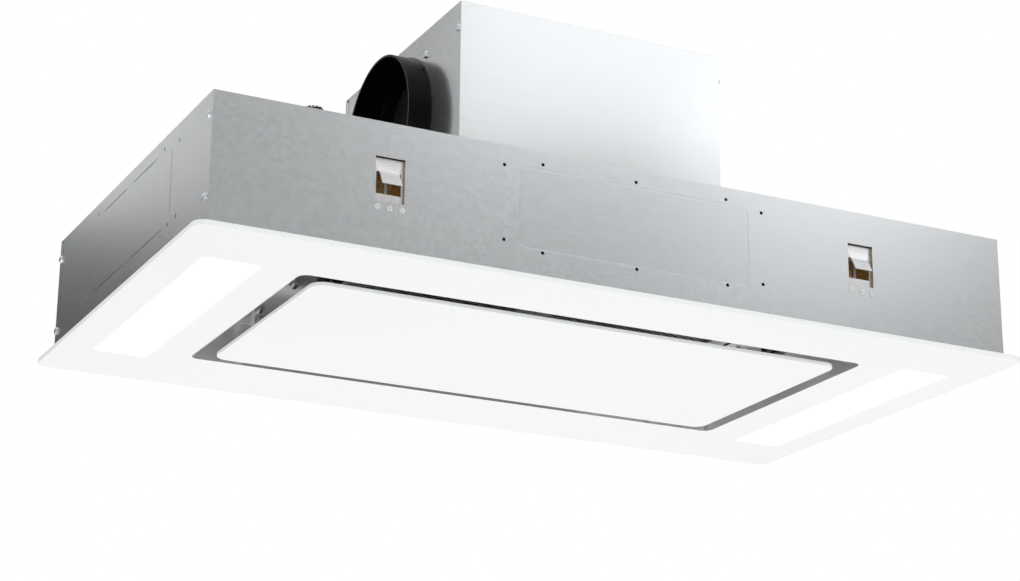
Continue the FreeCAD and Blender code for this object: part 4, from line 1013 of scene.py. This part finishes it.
class Assembly:
    """Nodes and pieces that belong together, with what dresses them."""

    materials: dict[str, bpy.types.Material] = {}
    slots: dict[str, str] = {}

    def dress(self, edge: float, *nodes: str, finish: Optional[str] = None) -> None:
        """Give CAD nodes their finish and softened edges.

        Args:
            edge: width of the bevel along their sharp edges, 0 for none.
            nodes: the nodes' names.
            finish: a finish other than their slots' own.
        """
        for node in nodes:
            body = frame["nodes"][node]
            material = self.materials[finish or self.slots[node]]
            for slot in body.material_slots:
                slot.material = material
            if edge:
                soften(body, edge)
            LOG.info("dressed %s in %s", node, material.name)

    def add(self, piece: Piece, body: str, slot: str, *nodes: str) -> None:
        """Hand a new piece over to the frame.

        Args:
            piece: the finished piece.
            body: the body that it moves with.
            slot: the record's slot that its finish belongs to.
            nodes: the CAD nodes that it stands for.
        """
        piece.data.materials.clear()
        piece.data.materials.append(self.materials[slot])
        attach(piece, body)
        if nodes:
            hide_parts(*nodes)
        LOG.info("built %s: %d faces", piece.name, len(piece.data.polygons))

    def drive(self, screw: PanScrew, name: str, slot: str, node: str) -> None:
        """Set copies of a pan-head screw in place of a node's screws on the hood.

        Args:
            screw: the screw.
            name: the new piece's name.
            slot: the record's slot that its finish belongs to.
            node: the CAD node that it stands for.
        """
        seats = screw_seats(node, screw.head_height)
        self.add(scatter(screw.build(), seats, name), "hood", slot, node)

    def build(self) -> None:
        """Dress the nodes and build the pieces."""
        raise NotImplementedError


@dataclass
class GlassCover(Assembly):
    """The white glass with its suction aperture."""

    edge: float = 0.5 * MM

    def build(self) -> None:
        """Dress the glass."""
        self.dress(self.edge, "glass_panel")


@dataclass
class SuctionPanel(Assembly):
    """White panel in the aperture, its carrier, hinges, catches and the polished tray."""

    panel_edge: float = 0.5 * MM
    steel_edge: float = 0.3 * MM
    tray_edge: float = 0.2 * MM
    dome_radius: float = 5.3 * MM
    dome_height: float = 8 * MM
    dome_rim: float = 0.15 * MM
    dome_sides: int = 28
    dome_rings: int = 16
    shank_radius: float = 2 * MM
    shank_length: float = 9 * MM
    shank_sides: int = 16
    nut_across: float = 8 * MM
    nut_low: float = 0.8 * MM
    nut_height: float = 4 * MM
    nut_bevel: float = 0.45 * MM
    below_tray: float = 5 * MM

    def dome_screw(self) -> Piece:
        """Model a domed screw that hangs under Z = 0, with its hexagon nut above.

        Returns:
            The master, at the origin.
        """
        clear_selection()
        bpy.ops.mesh.primitive_uv_sphere_add(segments=self.dome_sides, ring_count=self.dome_rings,
                                             radius=self.dome_radius)
        dome = bpy.context.object
        dome.scale.z = self.dome_height / self.dome_radius
        settle(dome)
        with editing(dome):
            bpy.ops.mesh.select_all(action="SELECT")
            bpy.ops.mesh.bisect(plane_co=(0, 0, -self.dome_rim), plane_no=(0, 0, 1), use_fill=True,
                                clear_outer=True)
            pick_faces(dome, is_top)
            bpy.ops.mesh.extrude_region_move(TRANSFORM_OT_translate={"value": (0, 0, self.dome_rim)})
        shank = begin_cylinder(self.shank_radius, self.shank_length,
                               (0, 0, self.shank_length / 2), self.shank_sides)
        nut = begin_cylinder(self.nut_across / math.sqrt(3), self.nut_height,
                             (0, 0, self.nut_low + self.nut_height / 2), 6)
        with editing(nut):
            pick_faces(nut, lambda middle, normal: abs(normal.z) > FACING)
            bevel(self.nut_bevel, 2)
        return join([dome, shank, nut], "dome_screw")

    def build(self) -> None:
        """Dress the nodes and set the dome screws."""
        self.dress(self.panel_edge, "suction_panel")
        self.dress(self.steel_edge, "panel_carrier", "hinge_brackets", "panel_catches", "catch_studs")
        self.dress(self.tray_edge, "suction_tray")
        self.dress(0, "hinge_pins")
        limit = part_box("suction_tray")[1].z - self.below_tray
        seats = [stand_in(box, self.dome_height) for box in solids_of("tray_screws")
                 if box[0].z < limit and (box[1] - box[0]).z > self.dome_height]
        screws = scatter(self.dome_screw(), seats, "tray_dome_screws")
        close_up(screws)
        smooth(screws, 40)
        self.add(screws, "hood", "bright_steel", "tray_screws")


@dataclass
class Chassis(Assembly):
    """Galvanised walls, base frame, top plate and their screws."""

    edge: float = 0.49 * MM
    screw: PanScrew = PanScrew()

    def build(self) -> None:
        """Dress the sheets and set the corner screws."""
        self.dress(self.edge, "front_wall", "rear_wall", finish="scored_sheet")
        self.dress(self.edge, "left_wall", "right_wall", "top_plate", "base_frame")
        self.drive(self.screw, "chassis_screws", "zinc_steel", "corner_screws")


@dataclass
class CeilingClamps(Assembly):
    """Four clamps: bracket, carriage with its tongue, and the threaded screw that pulls it."""

    corners: tuple[str, ...] = ("front_left", "front_right", "rear_left", "rear_right")
    edge: float = 0.3 * MM
    fixing_screw: PanScrew = PanScrew(2.8 * MM, 1.6 * MM, 1.3 * MM, 3 * MM, recess_reach=0.42,
                                      recess_width=0.34, recess_depth=0.8)
    head_radius: float = 4.5 * MM
    head_height: float = 4 * MM
    head_sides: int = 28
    head_bevel: float = 0.7 * MM
    head_overlap: float = 0.3 * MM
    socket_radius: float = 2.3 * MM
    socket_depth: float = 2.6 * MM
    thread_radius: float = 2.5 * MM
    thread_depth: float = 0.5 * MM
    thread_shares: Triple = (0.35, 0.5, 0.85)
    pitch: float = 0.8 * MM
    steps: int = 14

    def threaded_rod(self, length: float) -> Piece:
        """Model a rod with a real thread, from Z = 0 up.

        Args:
            length: how long the rod is.

        Returns:
            The rod, closed at both ends.
        """
        crest, core = self.thread_radius, self.thread_radius - self.thread_depth
        shares = (0.0, *self.thread_shares, 1.0)
        mesh = bpy.data.meshes.new("thread")
        mesh.from_pydata([(radius, 0, share * self.pitch)
                          for radius, share in zip((core, crest, crest, core, core), shares)],
                         [(number, number + 1) for number in range(len(shares) - 1)], [])
        thread = new_object("thread", mesh)
        apply_modifier(thread, "SCREW", axis="Z", angle=math.tau, screw_offset=self.pitch,
                       iterations=int(length / self.pitch), steps=self.steps, render_steps=self.steps,
                       use_merge_vertices=False)
        close_up(thread, 10 * TOLERANCE)
        middle = length / 2
        for lower in (True, False):
            with editing(thread, "EDGE"):
                bpy.ops.mesh.select_non_manifold()
                shape = bmesh.from_edit_mesh(thread.data)
                for edge in shape.edges:
                    if edge.select and (edge.verts[0].co.z < middle) != lower:
                        edge.select_set(False)
                shape.select_flush_mode()
                bpy.ops.mesh.edge_face_add()
        close_up(thread)
        return thread

    def clamp_screw(self, length: float) -> Piece:
        """Model a screw whose head starts at Z = 0.

        Args:
            length: where its thread ends.

        Returns:
            The master, at the origin.
        """
        head = begin_cylinder(self.head_radius, self.head_height, (0, 0, self.head_height / 2),
                              self.head_sides)
        with editing(head):
            pick_faces(head, is_underside)
            bevel(self.head_bevel, 3)
        socket = begin_cylinder(self.socket_radius, 2 * self.socket_depth, (0, 0, 0), 6)
        carve(head, socket)
        rod = self.threaded_rod(length - self.head_height)
        rod.data.transform(Matrix.Translation((0, 0, self.head_height - self.head_overlap)))
        screw = join([head, rod], "clamp_screw")
        smooth(screw, 30)
        return screw

    def build(self) -> None:
        """Dress the clamps and set their screws."""
        low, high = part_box("clamp_screw_front_left")
        master = self.clamp_screw(high.z - low.z - self.pitch)
        for corner in self.corners:
            self.dress(self.edge, f"clamp_bracket_{corner}")
            self.dress(self.edge, f"clamp_carriage_{corner}", finish="carriage_zinc")
            screw = copy_at(master, stand_in(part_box(f"clamp_screw_{corner}")))
            screw.name = screw.data.name = f"clamp_thread_{corner}"
            self.add(screw, f"screw_{corner}", "zinc_steel", f"clamp_screw_{corner}")
        bpy.data.objects.remove(master, do_unlink=True)
        self.drive(self.fixing_screw, "clamp_pan_screws", "white_screw", "clamp_fixing_screws")


@dataclass
class GreaseFilters(Assembly):
    """Two filters: frame, latch, and layers of expanded mesh."""

    frame_edge: float = 0.6 * MM
    latch_edge: float = 0.25 * MM
    strand: float = 1.1 * MM
    cell_x: float = 10.5 * MM
    cell_y: float = 6.4 * MM
    layers: tuple[float, ...] = (0.22, 0.72)

    def expanded(self, low: Vector, high: Vector, level: float, shift: bool) -> Piece:
        """Model one layer of expanded mesh as diamonds of drawn strands.

        Args:
            low: lowest corner of the space that it fills.
            high: highest corner.
            level: height of its middle.
            shift: whether its diamonds are set over by half a cell.

        Returns:
            The layer.
        """
        size = high - low
        counts = [max(4, round(size.x / self.cell_x)), max(4, round(size.y / self.cell_y))]
        clear_selection()
        bpy.ops.mesh.primitive_grid_add(
            x_subdivisions=counts[0], y_subdivisions=counts[1], size=1,
            location=((low.x + high.x) / 2, (low.y + high.y) / 2, level))
        layer = bpy.context.object
        layer.scale = (size.x, size.y, 1)
        settle(layer)
        border = [(low.x, high.x), (low.y, high.y)]
        with editing(layer):
            bpy.ops.mesh.select_all(action="SELECT")
            bpy.ops.mesh.poke()

        def is_old(middle: Vector, along: Vector) -> bool:
            """Whether an edge is one of the grid's own, inside its border."""
            straight = max(abs(along.x), abs(along.y)) > STRAIGHT
            inside = all(lowest + 10 * TOLERANCE < middle[axis] < highest - 10 * TOLERANCE
                         for axis, (lowest, highest) in enumerate(border))
            return straight and inside

        with editing(layer, "EDGE"):
            pick_edges(layer, is_old)
            bpy.ops.mesh.dissolve_edges(use_verts=False)
        if shift:
            with editing(layer, "VERT"):
                bpy.ops.mesh.select_all(action="SELECT")
                bpy.ops.transform.resize(value=(-1, 1, 1),
                                         center_override=((low.x + high.x) / 2, 0, 0))
        apply_modifier(layer, "WIREFRAME", thickness=self.strand, use_even_offset=False,
                       use_replace=True, use_boundary=True)
        return layer

    def build(self) -> None:
        """Dress the frames and latches and lay the meshes."""
        self.dress(self.frame_edge, "filter_frame_left", "filter_frame_right")
        self.dress(self.latch_edge, "filter_latch_left", "filter_latch_right")
        layers = []
        for low, high in solids_of("filter_meshes"):
            for number, share in enumerate(self.layers):
                level = low.z + (high.z - low.z) * share
                layers.append(self.expanded(low, high, level, number % 2 == 1))
        meshes = join(layers, "filter_expanded_mesh")
        close_up(meshes)
        smooth(meshes, 40)
        self.add(meshes, "hood", "filter_mesh", "filter_meshes")


@dataclass
class Lamps(Assembly):
    """Housings over the glass with lamp strips and opal diffusers."""

    edge: float = 0.3 * MM
    strip_edge: float = 0.1 * MM
    spacing: float = 15 * MM
    package: Triple = (3.5 * MM, 2.8 * MM, 0.9 * MM)
    package_rim: float = 0.45 * MM
    package_hollow: float = 0.25 * MM
    package_bevel: float = 0.3 * MM

    def chip(self) -> Piece:
        """Model one light-emitting package that hangs under Z = 0.

        Returns:
            The master, at the origin.
        """
        chip = begin_block(self.package, (0, 0, -self.package[2] / 2))
        with editing(chip):
            pick_faces(chip, is_underside)
            bpy.ops.mesh.inset(thickness=self.package_rim)
            bpy.ops.transform.translate(value=(0, 0, self.package_hollow))
        with editing(chip, "EDGE"):
            pick_edges(chip, lambda middle, along: abs(along.z) > STRAIGHT)
            bevel(self.package_bevel, 2)
        return chip

    def build(self) -> None:
        """Dress the lamps and set the chips in a row under each strip."""
        self.dress(self.edge, "led_housings", "led_diffusers")
        self.dress(self.strip_edge, "led_strips")
        seats = []
        for low, high in solids_of("led_strips"):
            count = int((high.y - low.y) / self.spacing)
            start = (low.y + high.y) / 2 - (count - 1) * self.spacing / 2
            seats += [Matrix.Translation(((low.x + high.x) / 2, start + number * self.spacing, low.z))
                      for number in range(count)]
        chips = scatter(self.chip(), seats, "lamp_chips")
        smooth(chips, 30)
        self.add(chips, "hood", "opal_plastic")


@dataclass
class MotorBox(Assembly):
    """Sheet box on the chassis and its screws."""

    edge: float = 0.35 * MM
    screw: PanScrew = PanScrew()

    def build(self) -> None:
        """Dress the box and set its screws."""
        self.dress(self.edge, "motor_box_shell", "motor_box_rear", "motor_box_lid",
                   finish="bright_box_sheet")
        self.drive(self.screw, "box_screws", "zinc_steel", "motor_box_screws")


@dataclass
class DuctOutlet(Assembly):
    """Black duct collar with two non-return flaps on their pin."""

    collar_edge: float = 0.3 * MM
    flap_edge: float = 0.2 * MM

    def build(self) -> None:
        """Dress the collar, the flaps and the pin."""
        self.dress(self.collar_edge, "outlet_collar")
        self.dress(self.flap_edge, "flap_front", "flap_rear")
        self.dress(0, "flap_pin")


@dataclass
class Fan(Assembly):
    """Double-inlet fan in its volute."""

    sheet_edge: float = 0.25 * MM
    motor_edge: float = 0.4 * MM

    def build(self) -> None:
        """Dress the fan."""
        self.dress(self.sheet_edge, "volute_scroll", "volute_front_plate", "volute_rear_plate",
                   "fan_rails")
        self.dress(self.motor_edge, "fan_motor", "motor_bracket", "capacitor")
        self.dress(0, "impeller", "fan_shaft", "motor_mounts")


@dataclass
class Controls(Assembly):
    """Control box under the top plate and the cable gland above it."""

    edge: float = 0.4 * MM
    ribs: int = 24
    rib_inset: float = 0.12 * MM
    rib_height: float = 0.5 * MM
    dome_radius: float = 7 * MM
    dome_bevel: float = 2.2 * MM
    bore: float = 4 * MM
    bore_sides: int = 20
    flange_radius: float = 10 * MM
    flange_height: float = 5 * MM
    flange_bevel: float = 0.5 * MM
    stem_radius: float = 8 * MM

    def gland(self, low: Vector, high: Vector, seat: float) -> Piece:
        """Model the gland: stem, hexagon flange and ribbed dome, with a bore through.

        Args:
            low: lowest corner of the CAD gland.
            high: highest corner.
            seat: height of the sheet that it sits on.

        Returns:
            The gland.
        """
        x, y = (low.x + high.x) / 2, (low.y + high.y) / 2
        stem = begin_cylinder(self.stem_radius, seat - low.z, (x, y, (seat + low.z) / 2), self.ribs)
        flange = begin_cylinder(self.flange_radius, self.flange_height,
                                (x, y, seat + self.flange_height / 2), 6)
        with editing(flange, "EDGE"):
            bpy.ops.mesh.select_all(action="SELECT")
            bevel(self.flange_bevel, 2)
        dome_low = seat + self.flange_height
        dome = begin_cylinder(self.dome_radius, high.z - dome_low, (x, y, (high.z + dome_low) / 2),
                              self.ribs)
        turn = math.tau / self.ribs

        def is_rib(middle: Vector, normal: Vector) -> bool:
            """Whether a face of the dome's side is one that stands out."""
            angle = math.atan2(middle.y - y, middle.x - x)
            return abs(normal.z) < 1 - FACING and round(angle / turn - 0.5) % 2 == 0

        with editing(dome):
            pick_faces(dome, is_rib)
            bpy.ops.mesh.inset(thickness=self.rib_inset, depth=self.rib_height, use_individual=True)
            pick_faces(dome, is_top)
            bevel(self.dome_bevel, 4)
        gland = join([stem, flange, dome], "gland_body")
        drill = begin_cylinder(self.bore, 2 * (high.z - low.z), (x, y, low.z), self.bore_sides)
        carve(gland, drill)
        close_up(gland)
        smooth(gland)
        return gland

    def build(self) -> None:
        """Dress the box and set the gland."""
        self.dress(self.edge, "control_box", "control_box_lid")
        self.dress(0, "control_board")
        low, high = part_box("cable_gland")
        gland = self.gland(low, high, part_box("top_plate")[1].z)
        self.add(gland, "hood", "black_plastic", "cable_gland")


# ---------------------------------------------------------------------------- studio

@dataclass(frozen=True)
class Softbox:
    """A rectangular soft lamp that looks at the hood."""

    name: str
    azimuth: float
    elevation: float
    distance: float
    width: float
    height: float
    radiance: float
    target: Triple = (0.0, 0.0, 0.12)

    def build(self) -> None:
        """Hang the lamp."""
        lamp = bpy.data.lights.new(self.name, "AREA")
        lamp.shape = "RECTANGLE"
        lamp.size, lamp.size_y = self.width, self.height
        lamp.energy = self.radiance * math.pi * self.width * self.height
        holder = new_object(self.name, lamp)
        away = heading(self.azimuth, self.elevation)
        holder.location = Vector(self.target) + away * self.distance
        holder.rotation_euler = away.to_track_quat("Z", "Y").to_euler()


@dataclass(frozen=True)
class Studio:
    """White surroundings, pale floor, soft lamps and the camera of the photograph."""

    eye: Triple = (-1.0918, -2.1518, -0.7117)
    azimuth: float = 63.5
    elevation: float = 18.2
    roll: float = 0.49
    lens: float = 85.4
    sensor: float = 36.0
    reach: float = 100.0
    floor_level: float = -4.8
    floor_half: float = 80.0
    floor_lift: float = 0.42
    floor_colour: Triple = (0.86, 0.86, 0.86)
    floor_roughness: float = 0.85
    ambient: float = 0.6
    side_blend: float = 0.35
    front_levels: Levels = ((0.0, 0.45), (0.30, 0.43), (0.36, 0.38), (0.6, 0.8), (1.0, 0.9))
    rear_levels: Levels = ((0.0, 0.12), (0.295, 0.13), (0.32, 0.22), (0.34, 0.55), (0.36, 0.98),
                           (0.38, 1.0), (1.0, 0.85))
    flag_levels: Levels = ((0.265, 0.5), (0.285, 0.8), (0.30, 1.0), (0.325, 1.0), (0.34, 0.3),
                           (0.347, 0.0), (0.375, 0.0), (0.39, 0.5), (0.405, 1.0))
    boxes: tuple[Softbox, ...] = (
        Softbox("key_box", -56.8, 30.4, 3.33, 1.5, 1.02, 1.1),
        Softbox("right_low_box", -53.5, 19.4, 3.35, 0.6, 0.5, 0.9),
        Softbox("left_rear_box", 107.5, 21.8, 3.35, 0.42, 0.36, 1.7),
        Softbox("rear_box", 100, 60, 3.3, 1.9, 1.2, 0.9),
        Softbox("right_box", 10, 55, 3.4, 1.6, 1.2, 0.6),
        Softbox("under_box", 0, -89, 2.3, 3.0, 2.4, 1.66),
    )

    def camera(self) -> None:
        """Stand the camera where the photograph was taken from."""
        ahead, roll = heading(self.azimuth, self.elevation), math.radians(self.roll)
        right = ahead.cross(Vector((0, 0, 1))).normalized()
        above = right.cross(ahead)
        right, above = (right * math.cos(roll) + above * math.sin(roll),
                        above * math.cos(roll) - right * math.sin(roll))
        lens = bpy.data.cameras.new("photo_camera")
        lens.lens, lens.sensor_width, lens.clip_end = self.lens, self.sensor, self.reach
        camera = new_object("photo_camera", lens)
        camera.matrix_world = Matrix.Translation(self.eye) @ Matrix(
            (right, above, -ahead)).transposed().to_4x4()
        bpy.context.scene.camera = camera

    def surroundings(self, graph: Graph) -> Socket:
        """Lay what gloss shows past the lamps: brighter upwards, and a dark flag behind the hood.

        Args:
            graph: the world's nodes.

        Returns:
            The socket of the colour.
        """
        x, y, z = graph.axes(graph.node("ShaderNodeTexCoord", {}).outputs["Generated"])
        behind = graph.span(y, 0.0, 1.0, -self.side_blend, self.side_blend, "SMOOTHSTEP")
        flag = graph.greys(graph.math("MULTIPLY", x, -1.0), self.flag_levels)
        rear = graph.blend(flag, BLACK, graph.greys(z, self.rear_levels))
        return graph.blend(behind, graph.greys(z, self.front_levels), rear)

    def world(self) -> None:
        """Light the scene evenly, and show white to the camera and a studio to gloss."""
        world = bpy.data.worlds.new("studio")
        bpy.context.scene.world = world
        world.use_nodes = True
        graph = Graph(world.node_tree)
        graph.tree.nodes.clear()
        path = graph.node("ShaderNodeLightPath", {}).outputs
        even, studio, white = (
            graph.node("ShaderNodeBackground", {"Strength": strength, "Color": colour}).outputs[0]
            for strength, colour in ((self.ambient, WHITE), (1.0, self.surroundings(graph)),
                                     (1.0, WHITE)))
        lit = graph.choose(path["Is Glossy Ray"], even, studio)
        seen = graph.math("MAXIMUM", path["Is Camera Ray"], path["Is Transmission Ray"])
        graph.node("ShaderNodeOutputWorld", {"Surface": graph.choose(seen, lit, white)})

    def floor(self) -> None:
        """Lay a plain floor well under the hood, which looks pale and keeps the hood's shadow."""
        clear_selection()
        bpy.ops.mesh.primitive_plane_add(size=2 * self.floor_half, location=(0, 0, self.floor_level))
        floor = settle(bpy.context.object, "studio_floor")
        paint = Paint("studio_floor", self.floor_colour, 0.0, self.floor_roughness)
        path = paint.node("ShaderNodeLightPath", {}).outputs
        gloss = paint.math("MAXIMUM", path["Is Glossy Ray"], path["Is Transmission Ray"])
        seen = paint.math("MAXIMUM", path["Is Camera Ray"], gloss)
        paint.set("Emission Color", WHITE)
        paint.feed("Emission Strength", paint.math("MULTIPLY", seen, self.floor_lift))
        floor.data.materials.append(paint.material)

    def build(self) -> None:
        """Set the camera, the world, the floor and the lamps."""
        self.camera()
        self.world()
        self.floor()
        for box in self.boxes:
            box.build()
        view = bpy.context.scene.view_settings
        view.view_transform = "Standard"
        view.look = "None"


def main() -> None:
    """Build the studio and the sub-assemblies in order."""
    logging.basicConfig(level=logging.INFO, format="%(name)s: %(message)s")
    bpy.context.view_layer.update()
    Studio().build()
    Assembly.materials = {finish.name: finish.make() for finish in FINISHES}
    Assembly.slots = {row["node"]: row["material_slot"] for row in frame["record"]["subparts"]}
    for assembly in (GlassCover(), SuctionPanel(), Chassis(), CeilingClamps(), GreaseFilters(),
                     Lamps(), MotorBox(), DuctOutlet(), Fan(), Controls()):
        assembly.build()


if __name__ == "__main__":
    main()
